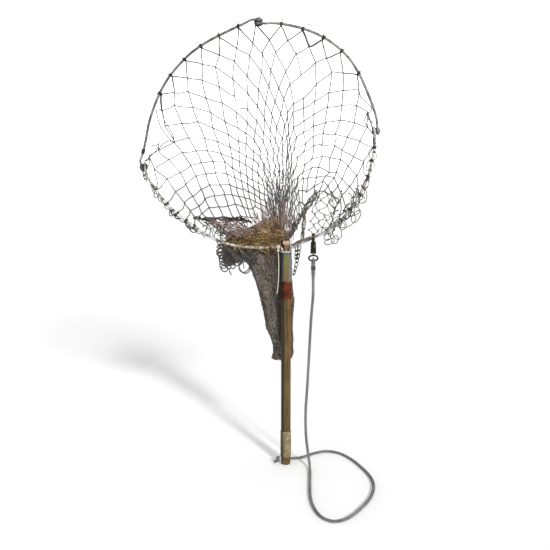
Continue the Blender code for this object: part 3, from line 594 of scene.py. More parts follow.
def build_floor():
    """A round floor that turns up into a low, pale wall all the way round."""
    mesh = bpy.data.meshes.new("floor")
    for name, glow in (("floor", 0.0), ("wall", 0.38)):
        made = Surface(name, 0.9, specular=0.1)
        made.base = (0.96, 0.96, 0.96, 1.0)
        if glow:
            made.drive("Emission Color", (1.0, 1.0, 1.0, 1.0))
            made.drive("Emission Strength", glow)
        mesh.materials.append(made.done())
    turn = np.radians(np.linspace(0.0, 90.0, 17))
    side = [*zip(24.0 + 6.0 * np.sin(turn), 6.0 - 6.0 * np.cos(turn)), (30.0, 11.0)]
    n = 72
    points = [(reach * math.cos(a), reach * math.sin(a), z) for reach, z in side for a in circle(n)]
    faces = [tuple(range(n))]
    for low in range(0, (len(side) - 1) * n, n):
        faces += [(low + a, low + n + a, low + n + (a + 1) % n, low + (a + 1) % n) for a in range(n)]
    mesh.from_pydata(points, [], faces)
    mesh.shade_smooth()
    mesh.polygons.foreach_set("material_index", [0] + [1] * (len(faces) - 1))
    put_in_scene("floor", mesh)


build_studio()
build_floor()


# ---------------------------------------------------------------- rope lanyard and tie cord
def laid_rope(build, line, radius, pitch, strands=3, per_turn=11, tone=0.5, taper=None):
    """Strands wound round a line, as a laid rope. The radius may change along the line."""
    total = lengths(line)[-1]
    count = max(8, int(total / pitch * per_turn))
    centre = resampled(line, count)
    radius = np.full(count, radius) if taper is None else taper(np.linspace(0.0, 1.0, count))
    turn = 2 * np.pi * np.linspace(0.0, total, count) / pitch
    share = 1.0 / (1.0 + 1.0 / math.sin(math.pi / strands))
    for index in range(strands):
        strand = around(centre, turn + 2 * np.pi * index / strands, radius * (1.0 - share))
        build.strands(strand, (radius * share * 1.08)[None], 7, tone + 0.08 * (index - 1))
    return centre


def trefoil(radii, order, centre):
    """An overhand knot's closed line, with these half-sizes, its axes put in this order."""
    t = circle(40)
    knot = xyz(np.sin(t) + 2 * np.sin(2 * t), np.cos(t) - 2 * np.cos(2 * t), -np.sin(3 * t))
    return (knot * radii / (3.0, 3.0, 1.0))[:, order] + centre


def build_rope():
    line = np.vstack([smooth_route(ROPE_ROUTE, 6), ROPE_END])
    build = Build()
    centre = laid_rope(build, line, ROPE_RADIUS + 0.0006, 0.0195)
    rope = build.finish("lanyard", ROPE_FIBRE, "rope", None, "lanyard_rope")
    x, y, _ = ROPE_ROUTE[0]
    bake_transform(rope)
    stopper = build_stopper()
    splice = build_splice(x, y)


def build_stopper():
    """The knot on the left of the butt that keeps the rope in its hole, with a short frayed end."""
    build = Build()
    knot = trefoil((0.0054, 0.006, 0.0026), (2, 0, 1), (-0.0197, 0.0, 0.0122))
    build.strands(knot, 0.0026, 10, 0.5, cyclic=True)
    rng = np.random.default_rng(31)
    n = 26
    starts = (-0.0235, 0.0, 0.0095) + rng.normal(0, 0.0009, (n, 3))
    ends = starts + (-0.0034, 0.0, -0.0058) + rng.normal(0, 0.0016, (n, 3))
    ends[:, 2] = np.maximum(ends[:, 2], 0.0012)
    middle = (starts + ends) / 2 + rng.normal(0, 0.001, (n, 3))
    middle[:, 2] = np.maximum(middle[:, 2], 0.0016)
    build.strands(np.stack([starts, middle, ends], axis=1), 0.00032, 5, rng.uniform(0.3, 0.8, n))
    return build.finish("stopper", ROPE_FIBRE, "rope", "root", "stopper_knot")


def build_splice(x, y):
    """The rope's end taken round the swivel's ring and tucked back, whipped with twine."""
    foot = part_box("rope_eye_splice")[0].z
    bar_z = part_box("swivel_eye")[0].z + 0.0021
    angles = np.linspace(-0.35 * np.pi, 1.35 * np.pi, 22)
    build = Build()
    laid_rope(build, xyz(x, y + 0.0052 * np.cos(angles), bar_z + 0.0052 * np.sin(angles)),
              0.0026, 0.014, tone=0.45)
    body = xyz(x, y, (bar_z - 0.0035, foot + 0.018, foot - 0.0002))

    def taper(t):
        return 0.0052 - 0.0019 * t**0.8 + 0.0003 * np.sin(t * 26)

    laid_rope(build, resampled(body, 12), 0.0052, 0.015, strands=4, taper=taper, tone=0.42)
    turns = np.linspace(0.0, 7.0, 80)
    turn = 2 * np.pi * turns
    coil = xyz(x + 0.005 * np.cos(turn), y + 0.005 * np.sin(turn), bar_z - 0.013 - 0.00125 * turns)
    build.strands(coil, 0.0007, 6, 0.05)
    rng = np.random.default_rng(5)
    n = 70
    base_z = rng.uniform(foot + 0.002, bar_z - 0.006, n)
    turn = rng.uniform(0, 2 * np.pi, n)
    out = xyz(np.cos(turn), np.sin(turn), 0.0)
    start = xyz(x, y, base_z) + out * 0.0038
    tip = start + out * rng.uniform(0.001, 0.0035, n)[:, None] - UP * rng.uniform(0.001, 0.006, n)[:, None]
    build.strands(np.stack([start, (start + tip) / 2 + out * 0.0008, tip], axis=1), 0.00022, 4, 0.6)
    return build.finish("splice", ROPE_FIBRE, "rope", "snap_eye", "rope_eye_splice")


def build_tie():
    """The thin cord knotted round the rim beside the ferrule, and its hanging end."""
    build = Build()
    t = np.linspace(0.0, 2.6, 60)
    radius = WIRE_RADIUS + TIE_RADIUS + 0.0002
    turn = 2 * np.pi * t
    wrap = TIE_KNOT_CENTRE + xyz(0.0026 * (t - 1.3), radius * np.cos(turn), radius * np.sin(turn))
    build.strands(wrap, TIE_RADIUS * 0.92, 8, 0.55)
    knot = trefoil((0.0024, 0.003, 0.0013), (0, 2, 1), (-0.019, -0.0002, 0.5402))
    build.strands(knot, 0.0012, 8, 0.7, cyclic=True)
    coil = build.finish("tie_knot_coil", TIE_FIBRE, "tie_cord", "root", "tie_knot")
    line = resampled(smooth_route(TIE_ROUTE, 6), 60)
    build = Build()
    laid_rope(build, line, TIE_RADIUS, 0.0075, strands=2, per_turn=10, tone=0.65)
    rng = np.random.default_rng(3)
    end = line[-1]
    tips = end + rng.normal(0, 0.0005, (14, 3)) - UP * rng.uniform(0.0006, 0.0022, (14, 1))
    starts = end + rng.normal(0, 0.0003, (14, 3)) + UP * 0.001
    build.strands(np.stack([starts, (starts + tips) / 2, tips], axis=1), 0.00018, 4, 0.9)
    build.finish("tie_cord_end", TIE_FIBRE, "tie_cord", "root", "tie_cord")


build_rope()
build_tie()


# ---------------------------------------------------------------- hoop wires
def in_plane(points):
    return np.array([(x, 0.0, z) for x, z in points])


def eye_loop(centre, toward):
    """The wire's end, led to the front of the joint and bent round the rivet."""
    lead = [centre - toward * 0.017 - BEHIND * 0.0042, centre - toward * 0.0088 - BEHIND * 0.0076]
    turns = np.radians(np.arange(0, 271, 30))
    loop = [centre + EYE_RADIUS * (-math.cos(a) * BEHIND + math.sin(a) * toward) for a in turns]
    return np.array([*lead, *loop])


def tang(side):
    """The wire's end, bent down into the ferrule."""
    bends = ((0.017, 0.5487), (0.0118, 0.5462), (TANG_OFFSET, 0.54),
             (TANG_OFFSET, 0.52), (TANG_OFFSET, TANG_BOTTOM))
    return in_plane([(side * x, z) for x, z in bends])


def build_wires():
    for half, turn, body, surface in (("lower", -1, "root", LOWER_WIRE),
                                      ("upper", 1, "upper_hoop", UPPER_WIRE)):
        for name, side, joint in (("left", -1, LEFT_JOINT), ("right", 1, RIGHT_JOINT)):
            eye = eye_loop(joint + CHORD * EYE_OFFSET * side * turn, -turn * CHORD_UP)
            last = eye_loop(TOP_JOINT - UP * EYE_OFFSET * side, -side * ACROSS) if turn > 0 else tang(side)
            line = smooth_route(np.vstack([eye[::-1], in_plane(ROUTES[half, name]), last]), 5)
            along = lengths(line)
            end = np.minimum(along, along[-1] - along)
            radius = WIRE_RADIUS * (0.97 + 0.15 * np.clip((end - 0.065) / 0.035, 0.0, 1.0))
            wire = Build().strands(line, radius[None], 16)
            wire.finish(f"wire_{half}_{name}", surface, "hoop_steel", body, f"{half}_{name}_wire")


build_wires()


# ---------------------------------------------------------------- tapes, wedge and spring
def wound_tape(name, low, high, radius, turns, surface, slot, node, seed, ragged):
    """Cloth tape wound round the pole: overlapping turns with uneven edges and wrinkles."""
    rng = np.random.default_rng(seed)
    angles = circle(96)
    rows = int((high - low) / 0.0007)
    phases = rng.uniform(0, 2 * np.pi, (6, 2))
    inner = 0.01232

    def edge(waves, column):
        swing = sum(np.sin(angles * k + phases[i, column]) for i, k in enumerate(waves)) / 3
        return ragged * (0.5 + 0.5 * swing)

    edge_low = low + edge((2, 3, 5, 9), 0)
    edge_high = high - edge((2, 4, 7, 11), 1)
    rings = []
    for row in range(rows + 1):
        share = row / rows
        z = edge_low + (edge_high - edge_low) * share
        lap = ((z - low) / (high - low) * turns + angles / (2 * np.pi)) % 1.0
        folds = enumerate(((3, 420.0), (5, -610.0), (8, 930.0), (13, 300.0)))
        wrinkle = sum(np.sin(angles * k + z * w + phases[i, 0]) for i, (k, w) in folds)
        thick = radius - inner - 0.00045 + 0.00042 * lap + 0.00009 * wrinkle
        ends = min(1.0, min(share, 1 - share) * rows / 2.0)
        r = inner + np.maximum(thick * (0.35 + 0.65 * ends), 0.00015)
        rings.append(xyz(r * np.cos(angles), r * np.sin(angles), z))
    rings += [xyz(inner * np.cos(angles), inner * np.sin(angles), z) for z in (edge_high, edge_low)]
    Build().rings(np.array(rings)[None], 0.5, cyclic=True).finish(name, surface, slot, "root", node)


def rounded(wave, power):
    return np.sign(wave) * np.abs(wave) ** power


def build_wedge():
    """The wedge between the tangs, with a worn, wider head: each level is a half-width and a height."""
    angles = circle(24)
    corner, depth = rounded(np.cos(angles), 0.45), rounded(np.sin(angles), 0.45)
    rings = [
        xyz(corner * half, depth * 0.006, z + 0.0003 * np.sin(angles * 3 + z * 900))
        for half, z in (
            (0.0046, 0.495), (0.0049, 0.51), (0.0049, 0.53), (0.0049, 0.5535), (0.0078, 0.5562),
            (0.008, 0.558), (0.0074, 0.5632), (0.0064, 0.5642),
        )
    ]
    Build().rings(np.array([rings])).finish("wedge", wedge_surface(), "wedge_wood", "root", "hoop_wedge")


def build_spring():
    """The bolt's spring, as a fixed coil of wire in the CAD spring's place."""
    low, high = (np.array(corner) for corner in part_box("snap_spring"))
    x, y, _ = (low + high) / 2
    wire, turns = 0.00035, 6
    t = np.linspace(0.0, 1.0, turns * 14 + 1)
    reach = (high[0] - low[0]) / 2 - wire
    turn = 2 * np.pi * turns * t
    rise = low[2] + wire + (high[2] - low[2] - 2 * wire) * t
    line = xyz(x + reach * np.cos(turn), y + reach * np.sin(turn), rise)
    spring = Build().strands(line, wire, 8)
    spring = spring.finish("bolt_spring", SPRING_METAL, "spring_steel", None, "snap_spring")
    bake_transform(spring)


build_spring()
wound_tape("red_tape", 0.4205, 0.4662, 0.013, 3.2, RED_CLOTH, "red_tape", "red_tape_band", 11, 0.005)
wound_tape("cream_tape", 0.0185, 0.088, 0.0134, 4.0, CREAM_CLOTH, "grip_cloth", "grip_tape", 12, 0.0012)
build_wedge()


# ---------------------------------------------------------------- netting
def rim_outline():
    """The rim's centre line, from the ferrule's left side round the top to its right side."""
    def part(half, side, first, *last):
        return smooth_route(np.vstack([first, in_plane(ROUTES[half, side]), *last]), 6)

    left = part("lower", "left", LEFT_JOINT)[::-1]
    over_right = part("upper", "right", RIGHT_JOINT, TOP_JOINT)[::-1]
    right = part("lower", "right", RIGHT_JOINT)
    return np.vstack([left[:-1], part("upper", "left", LEFT_JOINT, TOP_JOINT), over_right, right[1:]])


RIM = rim_outline()
RIM_ANGLES = np.unwrap(np.arctan2(RIM[:, 2] - NET_CENTRE[2], RIM[:, 0] - NET_CENTRE[0]))
RIM_ANGLES = RIM_ANGLES - 2 * np.pi * np.round((RIM_ANGLES[len(RIM) // 2] - np.pi / 2) / (2 * np.pi))


def rim_at_angle(degrees):
    """The rim's centre in a direction from the net's centre. The angle may run below zero."""
    order = np.argsort(RIM_ANGLES)
    return xyz(*(np.interp(np.radians(degrees), RIM_ANGLES[order], RIM[order, k]) for k in range(3)))


def rim_height(x, side="left"):
    """The lower rim's height at an x."""
    line = smooth_route(in_plane(ROUTES["lower", side]), 12)
    order = np.argsort(line[:, 0])
    return np.interp(x, line[order, 0], line[order, 2])


def rim_at_x(x, side="left"):
    return xyz(x, 0.0, rim_height(x, side))


# Where each column of the net is tied to the rim, in degrees round the net's centre.
HITCHES = {
    8: 156.1, 9: 145.2, 10: 134.3, 11: 123.4, 12: 112.5, 13: 101.6, 14: 92.7,
    15: 79.8, 16: 68.9, 17: 58.0, 18: 47.1, 19: 33.5, 21: 3.0,
}
# The net's columns of knots, every second row, in millimetres (x, z). Each has its first row's number.
NET_LINES = {
    2: (4, ((-272, 611), (-239, 605), (-198, 600), (-162, 594))),
    3: (4, ((-264, 645), (-229, 635), (-203, 629), (-175, 617), (-145, 600))),
    4: (2, ((-305, 693), (-265, 683), (-225, 674), (-196, 664), (-163, 646), (-129, 619), (-100, 596))),
    5: (0, ((-343, 747), (-313, 738), (-255, 727), (-216, 715), (-185, 697), (-150, 674), (-124, 650),
        (-95, 619), (-70, 600))),
    6: (0, ((-337, 788), (-301, 779), (-248, 774), (-203, 750), (-168, 726), (-136, 697), (-114, 670),
        (-93, 639), (-72, 613))),
    7: (0, ((-329, 855), (-284, 835), (-232, 810), (-185, 778), (-150, 749), (-123, 715), (-106, 687),
        (-88, 663), (-73, 643), (-56, 617))),
    8: (2, ((-263, 883), (-207, 846), (-163, 800), (-129, 762), (-109, 726), (-93, 700), (-77, 674),
        (-62, 650), (-43, 621), (-36, 600))),
    9: (2, ((-231, 916), (-179, 867), (-137, 816), (-113, 778), (-97, 744), (-82, 709), (-66, 681),
        (-53, 659), (-37, 625), (-30, 600))),
    10: (2, ((-197, 943), (-152, 889), (-115, 831), (-94, 794), (-80, 759), (-68, 725), (-56, 693),
        (-45, 669), (-33, 629), (-24, 600))),
    11: (2, ((-166, 969), (-123, 906), (-92, 847), (-76, 804), (-62, 764), (-52, 729), (-43, 697),
        (-35, 673), (-28, 629), (-18, 600))),
    12: (2, ((-123, 985), (-92, 912), (-70, 847), (-56, 800), (-45, 759), (-37, 723), (-31, 691),
        (-27, 665), (-23, 629), (-14, 600))),
    13: (2, ((-86, 996), (-66, 920), (-51, 855), (-38, 800), (-31, 759), (-26, 723), (-22, 691), (-20, 665),
        (-18, 629), (-11, 600))),
    14: (2, ((-56, 1002), (-43, 925), (-33, 862), (-24, 804), (-20, 761), (-16, 723), (-15, 691),
        (-14, 665), (-13, 629), (-8, 600))),
    15: (2, ((-24, 1006), (-19, 923), (-14, 866), (-11, 808), (-9, 763), (-8, 723), (-8, 691), (-8, 665),
        (-8, 629), (-5, 600))),
    16: (2, ((22, 1002), (6, 932), (4, 866), (2, 808), (0, 763), (-1, 723), (-2, 691), (-2, 665), (-3, 629),
        (-2, 600))),
    17: (2, ((65, 980), (41, 901), (16, 864), (9, 804), (6, 764), (5, 727), (4, 693), (3, 665), (2, 629),
        (1, 598))),
    18: (2, ((104, 957), (67, 897), (42, 845), (22, 812), (13, 768), (11, 733), (9, 701), (8, 673),
        (8, 629), (5, 596))),
    19: (2, ((134, 920), (96, 881), (65, 836), (46, 795), (25, 761), (18, 729), (15, 701), (14, 673),
        (14, 629), (9, 594))),
    20: (0, ((200, 925), (166, 883), (127, 849), (91, 814), (67, 789), (43, 744), (26, 711), (22, 683),
        (21, 655), (21, 629), (13, 592))),
    21: (0, ((216, 837), (191, 834), (146, 810), (114, 788), (85, 765), (62, 739), (39, 713), (31, 683),
        (30, 655), (31, 625), (19, 590))),
    22: (0, ((220, 796), (206, 783), (159, 766), (129, 757), (102, 728), (70, 715), (50, 679), (42, 649),
        (42, 621), (26, 588))),
    23: (2, ((206, 733), (171, 721), (134, 715), (112, 713), (87, 705), (69, 675))),
    24: (4, ((177, 683), (136, 673), (114, 679), (93, 683), (77, 661))),
    25: (6, ((149, 645), (124, 650), (103, 659))),
    26: (8, ((144, 617), (117, 627))),
}
# The net's side edges: no knot lies outside them.
LEFT_EDGE = 6.0
RIGHT_EDGE = 21.0
STRAND_HEIGHT = 0.6165
# Bars that are torn away, each as (column, row) of its two knots.
TORN = {((11.0, 4), (10.5, 5)), ((11.0, 4), (11.5, 5)), ((16.5, 3), (17.0, 4))}
# Short bars from the net's side edges to the rim: column, row and the rim's angle.
EDGE_TIES = (
    (5.5, 1, 190.5), (5.5, 1, 194.0), (5.0, 2, 204.5), (4.5, 3, 205.5), (4.0, 4, 213.5), (3.5, 5, 220.5),
    (3.0, 6, 226.5), (2.5, 7, 231.0), (21.5, 1, -2.5), (22.0, 2, -11.0), (22.5, 3, -19.0), (23.0, 4, -29.0),
    (23.5, 5, -30.0), (24.0, 6, -38.0), (24.5, 7, -45.0), (25.0, 8, -51.0),
)


def ramped(value, start, run):
    return np.clip((value - start) / run, 0, 1)


def net_pull(column, z):
    """How tightly the cells are pulled into long lines: 0 for open cells, 1 for lines."""
    return ramped(column, 9.5, 3) * ramped(22.0 - column, 0, 3) * ramped(0.86 - z, 0, 0.1)


def tied_to_rim(angle):
    rim = rim_at_angle(angle)
    return rim + unit(NET_CENTRE - rim) * 0.0046


def net_nodes():
    """Knot places by (column, row). Columns run down from the rim; half columns have the odd rows."""
    lines = {}
    for column, (first, points) in NET_LINES.items():
        for step, point in enumerate(smooth_route(in_plane(points) / 1000, 2)):
            lines[column, first + step] = point
    for column, angle in HITCHES.items():
        lines[column, 0] = tied_to_rim(angle)
        if (column, 2) in lines and (column, 1) not in lines:
            lines[column, 1] = lines[column, 0] * 0.45 + lines[column, 2] * 0.55
    rng = np.random.default_rng(17)
    places = {}
    for half in range(4, 53):
        column = half / 2
        for row in range(half % 2, 22, 2):
            ends = [lines.get((c, row)) for c in (math.floor(column), math.ceil(column))]
            outside = column + row / 2 < LEFT_EDGE or column - row / 2 > RIGHT_EDGE
            if outside or any(end is None for end in ends) or (row == 0 and column not in HITCHES):
                continue
            lean = 0.5 + 0.36 * net_pull(column, ends[0][2])
            point = ends[0] * lean + ends[1] * (1.0 - lean)
            # Lower rows hang further behind the rim.
            point[1] = 0.0012 + 0.0388 * min(row / 17.0, 1.0) ** 1.25
            if row:
                shake = 0.0016 if row < 10 else 0.001
                point = point + rng.normal(0, 1, 3) * (shake, 0.0012, shake)
            places[column, row] = point
    del places[6.5, 1]
    return places


def net_bars(places):
    """The two ends of each bar, its first knot's column and row, and whether it runs down a column."""
    bars = []
    for (column, row), point in places.items():
        for side in (-0.5, 0.5):
            other = places.get((column + side, row + 1))
            if other is None or ((column, row), (column + side, row + 1)) in TORN:
                continue
            if column >= 7 or max(point[2], other[2]) >= STRAND_HEIGHT:
                bars.append((point, other, column, row, (column % 1 == 0) == (side > 0)))
    return [np.array(part) for part in zip(*bars)]


def knot_coils(build, centres, size, rng, tone, radius=0.00095):
    """A small turn and a half of twine at each place, turned at random."""
    t = np.linspace(0.0, 2 * np.pi * 1.35, 10)
    coil = xyz(np.cos(t), np.sin(t), 0.35 * (t / t[-1] - 0.5) * 2)
    spin = np.linalg.qr(rng.normal(size=(len(centres), 3, 3)))[0]
    lines = centres[:, None] + np.einsum("nij,kj->nki", spin, coil) * np.reshape(size, (-1, 1, 1))
    build.strands(lines, radius, 5, tone)


def wobbled(starts, ends, rng, points=7, sag=0.0, wobble=0.0004):
    """Slack lines from starts to ends, that sag and wander a little."""
    t = np.linspace(0.0, 1.0, points)[None, :, None]
    lines = starts[:, None] + (ends - starts)[:, None] * t
    shape = 4 * t * (1 - t)
    lines = lines - UP * (np.asarray(sag) * np.linalg.norm(ends - starts, axis=1))[:, None, None] * shape
    bend = rng.normal(size=(len(starts), 1, 3)) * wobble * 2.0
    second = rng.normal(size=(len(starts), 1, 3)) * wobble
    return lines + bend * shape + second * np.sin(2 * np.pi * t)


def build_lattice(build, rng, places):
    starts, ends, column, rows, down = net_bars(places)
    first = rows == 0
    slack = 0.01 + 0.07 * ramped(column, 22, 2) + 0.03 * ramped(5 - column, 0, 2)
    lines = wobbled(starts, ends, rng, 7, slack, 0.0004)
    pull = net_pull(column, starts[:, 2])
    tone = 0.42 + rng.normal(0, 0.12, len(rows)) - 0.18 * first - 0.06 * ramped(rows, 0, 18)
    tone = np.clip(np.clip(tone, 0.0, 1.0) + pull * np.where(down, 0.12, 0.45), 0.0, 1.0)
    radius = np.where(first, 0.0016, 0.0014) + pull * np.where(down, 0.00005, -0.00045)
    build.strands(lines, radius, 6, tone)
    build.strands(lines[first] + rng.normal(0, 0.0011, (first.sum(), 1, 3)), 0.001, 6, 0.25)
    # Lines of the net's far side, which hangs behind the middle, and the seam they gather to.
    n = 22
    top = xyz(np.linspace(-0.058, 0.034, n), 0.05, 0.735 + rng.normal(0, 0.022, n))
    foot = xyz(-0.012 + top[:, 0] * 0.42, 0.046, 0.6)
    build.strands(wobbled(top, foot, rng, 9, 0.0, 0.0007), 0.0008, 5, rng.uniform(0.5, 0.9, n))
    top = (-0.014, 0.047, 0.69) + rng.normal(0, 1, (6, 3)) * (0.0035, 0.002, 0.02)
    foot = (-0.0115, 0.046, 0.602) + rng.normal(0, 1, (6, 3)) * (0.004, 0.002, 0.002)
    build.strands(wobbled(top, foot, rng, 9, 0.0, 0.0008), 0.001, 5, 0.55)
    ties = [(places[tie[:2]], tied_to_rim(tie[2])) for tie in EDGE_TIES if tie[:2] in places]
    a, b = np.array(ties).transpose(1, 0, 2)
    build.strands(wobbled(a, b, rng, 8, 0.16, 0.0012), 0.00125, 6, 0.25)
    knotted = {tuple(end) for end in (*starts, *ends)}
    centres = np.array([point for (_, row), point in places.items() if row and tuple(point) in knotted])
    knot_coils(build, centres, 0.0014, rng, 0.28)


def loose_strands(build, places):
    """Broken ends and loose strands that hang inside the hoop."""
    left, torn, open_end = places[7.5, 1], places[11.0, 4], places[11.5, 5]
    meet, edge, corner = places[6.5, 3], places[19.5, 1], places[20.5, 1]
    for line in (
        (left, left + (-0.013, 0.0, 0.004), left + (-0.011, 0.001, -0.017), left + (-0.004, 0.001, -0.038),
         meet + (-0.011, 0.0, 0.006), meet + (-0.002, 0.0, 0.001)),
        (left, left + (0.003, 0.002, -0.02), meet + (-0.006, 0.001, 0.022), meet),
        (rim_at_angle(191.0), (-0.318, 0.006, 0.77), (-0.306, 0.008, 0.785), (-0.304, 0.008, 0.793)),
        ((-0.322, 0.007, 0.792), (-0.315, 0.007, 0.79), (-0.305, 0.008, 0.793), (-0.3, 0.008, 0.799)),
        (places[6.0, 2], (-0.304, 0.008, 0.788), (-0.304, 0.008, 0.793)),
        (places[6.0, 2], (-0.295, 0.008, 0.793), (-0.28, 0.008, 0.801), meet),
        (torn, torn + (0.0015, 0.001, -0.008), torn + (0.005, 0.001, -0.014)),
        (open_end, open_end + (-0.012, 0.001, 0.001), open_end + (-0.023, 0.001, -0.001)),
        (edge, edge + (0.006, 0.0, -0.018), (0.19, 0.007, 0.89), (0.2, 0.006, 0.878),
         (0.199, 0.006, 0.87), (0.189, 0.008, 0.865), corner),
        (corner, (0.192, 0.006, 0.854), (0.206, 0.003, 0.842)),
        (corner, (0.185, 0.008, 0.849), places[21.0, 2]),
    ):
        build.strands(resampled(smooth_route(line, 5), 16), 0.00125, 6, 0.3)


def build_net():
    places = net_nodes()
    build = Build()
    build_lattice(build, np.random.default_rng(23), places)
    loose_strands(build, places)
    net = build.finish("net_fan", NET_TWINE, "net_twine", None, "net_upper", "net_lower")
    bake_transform(net)


build_net()


# ---------------------------------------------------------------- hitches and lacing on the rim
def coils(build, centre, along, turns, pitch, rng, radius=0.0011, tone=0.2):
    """Twine wound round the rim wire at a point."""
    out = unit(centre - NET_CENTRE)
    t = np.linspace(0.0, turns, max(6, int(turns * 12)))
    phase = rng.uniform(0, 2 * np.pi)
    reach = WIRE_RADIUS + radius * 0.9
    line = (
        centre
        + along * ((t - turns / 2) * pitch)[:, None]
        + out * (reach * np.cos(2 * np.pi * t + phase))[:, None]
        + BEHIND * (reach * np.sin(2 * np.pi * t + phase))[:, None]
    )
    build.strands(line, radius, 6, tone)
    return out


def rim_direction(degrees):
    return unit(rim_at_angle(degrees - 0.6) - rim_at_angle(degrees + 0.6))


def tag_end(build, start, out, along, rng, size):
    """A short cut end of twine that curls away from its knot."""
    lean = rng.uniform(-0.7, 0.7)
    curl = rng.choice((-1.0, 1.0))
    t = np.linspace(0.0, 1.0, 9)[:, None]
    build.strands(
        start + size * (
            out * np.sin(t * 1.9) + along * (lean * t + curl * 0.55 * t**2.2)
            + BEHIND * rng.uniform(-0.35, 0.35) * t - UP * 0.35 * t**2
        ), 0.0009, 5, 0.25,
    )


def hitch_at(build, degrees, rng, tagged):
    centre = rim_at_angle(degrees)
    along = rim_direction(degrees)
    out = coils(build, centre, along, rng.uniform(2.1, 3.2), 0.0023, rng)
    knots = centre - out * 0.0048 + rng.normal(0, 0.0005, (2, 3)) + BEHIND * 0.0008
    knot_coils(build, knots, (0.0016, 0.0013), rng, 0.15, 0.001)
    if tagged:
        side = rng.choice((-1.0, 1.0))
        tag_end(build, centre + out * 0.0035 + along * side * 0.002, out, along,
                rng, rng.uniform(0.007, 0.012))
        if rng.uniform() < 0.5:
            tag_end(build, centre - out * 0.005, -out * 0.6 + along * side, along, rng, 0.008)


def build_hitches():
    rng = np.random.default_rng(41)
    upper = Build()
    for degrees in HITCHES.values():
        hitch_at(upper, degrees, rng, True)
    x, _, z = LEFT_JOINT + CHORD_UP * 0.034 - NET_CENTRE
    for shift in (0.0, 0.0055):
        at = np.degrees(np.arctan2(z + shift, x)) % 360
        coils(upper, rim_at_angle(at), rim_direction(at), 3.2, 0.0019, rng, 0.001, 0.12)
    upper.finish("hitches_upper", LACING_TWINE, "net_twine", "upper_hoop")
    lower = Build()
    for degrees in (194.5, 205.0, 214.0, 221.0, 227.0, 232.0, -4.0, -11.0, -19.0, -29.0, -38.0, -45.0):
        hitch_at(lower, degrees, rng, degrees < -25.0)
    for degrees in (*np.arange(196.0, 236.0, 7.5), *np.arange(-6.0, -50.0, -4.6)):
        at = degrees + rng.uniform(-0.9, 0.9)
        coils(lower, rim_at_angle(at), rim_direction(at), rng.uniform(1.1, 2.0), rng.uniform(0.0022, 0.004),
              rng, 0.001, 0.18)
    # The lacing cord runs on from wrap to wrap, outside the rim at some of them.
    for start, stop, slack in ((193.0, 240.0, 0.0045), (-6.0, -52.0, 0.0055)):
        centre = rim_at_angle(np.linspace(start, stop, 90))
        wave = np.abs(np.sin(np.linspace(0.0, 9.5 * np.pi, 90))) ** 1.5
        line = centre + unit(centre - NET_CENTRE) * (0.0035 + slack * wave)[:, None] + BEHIND * 0.0008
        lower.strands(line, 0.001, 6, 0.22)
    lower.finish("lacing_lower", LACING_TWINE, "net_twine", "root")


def slack_loops(build, rng, degrees, count, reach, tone):
    """Loops of slack twine that hang from the rim, outside it."""
    t = np.linspace(0.0, 1.0, 9)
    shape = (np.sin(np.pi * t) ** 0.7)[:, None]
    for _ in range(count):
        start = degrees[0] + (degrees[1] - degrees[0]) * rng.uniform()
        points = rim_at_angle(np.linspace(start, start - rng.uniform(3.0, 6.0), 9))
        size = rng.uniform(*reach)
        line = points + unit(points - NET_CENTRE) * (0.003 + size * shape) - UP * size * 0.5 * shape
        line = line + BEHIND * (rng.uniform(0.004, 0.012) + 0.004 * np.sin(np.pi * t))[:, None]
        build.strands(resampled(smooth_route(line, 3), 18), rng.uniform(0.001, 0.0013), 6, tone)


# Loops of slack twine: x, z, half-width and half-height in mm, and some with a tilt in degrees.
RIM_LOOPS = (
    (180, 675, 12, 24, 5), (157, 638, 17, 14, -25), (149, 609, 21, 10, 38), (123, 584, 11, 16, 0),
    (104, 562, 12, 6.5, 12), (108, 592, 6, 18, -12), (93, 587, 8, 9, 0), (196, 743, 5, 12, -15),
    (135, 603, 9, 12, 20), (165, 657, 9, 13, 5), (100, 573, 9, 8, 30), (118, 566, 8, 9, -30),
    (190, 700, 6, 15, -12), (168, 622, 9, 16, -35),
)
LEFT_LOOPS = ((-158, 583, 7, 8), (-150, 575, 6, 7), (-170, 590, 7, 9), (-147, 589, 5, 7))
STRAND_LOOPS = ((-128, 606, 8, 5), (-113, 605, 7, 5), (-101, 601, 7, 5), (-141, 604, 6, 5), (-96, 612, 6, 4))
# Lines that netting is rolled round, with the number of strands and the roll's half-width.
ROLLS = (
    (((0.073, 0.012, 0.679), (0.06, 0.014, 0.659), (0.0482, 0.015, 0.642),
      (0.0374, 0.016, 0.6227)), 11, 0.0078),
    (((0.039, 0.016, 0.627), (0.0286, 0.017, 0.61), (0.0176, 0.018, 0.59), (0.009, 0.018, 0.57)), 9, 0.0058),
    (((0.041, 0.016, 0.63), (0.044, 0.016, 0.613), (0.0416, 0.016, 0.593), (0.0385, 0.014, 0.565)), 8, 0.005),
)
# Ends of the links of two chains of loops that hang behind the ferrule's right side.
CHAINS = (
    ((0.0335, 0.548), (0.0318, 0.5385), (0.0305, 0.529), (0.0285, 0.519), (0.0262, 0.5085),
     (0.024, 0.498), (0.0215, 0.488), (0.019, 0.479)),
    ((0.026, 0.547), (0.0245, 0.537), (0.0248, 0.527), (0.025, 0.518)),
)


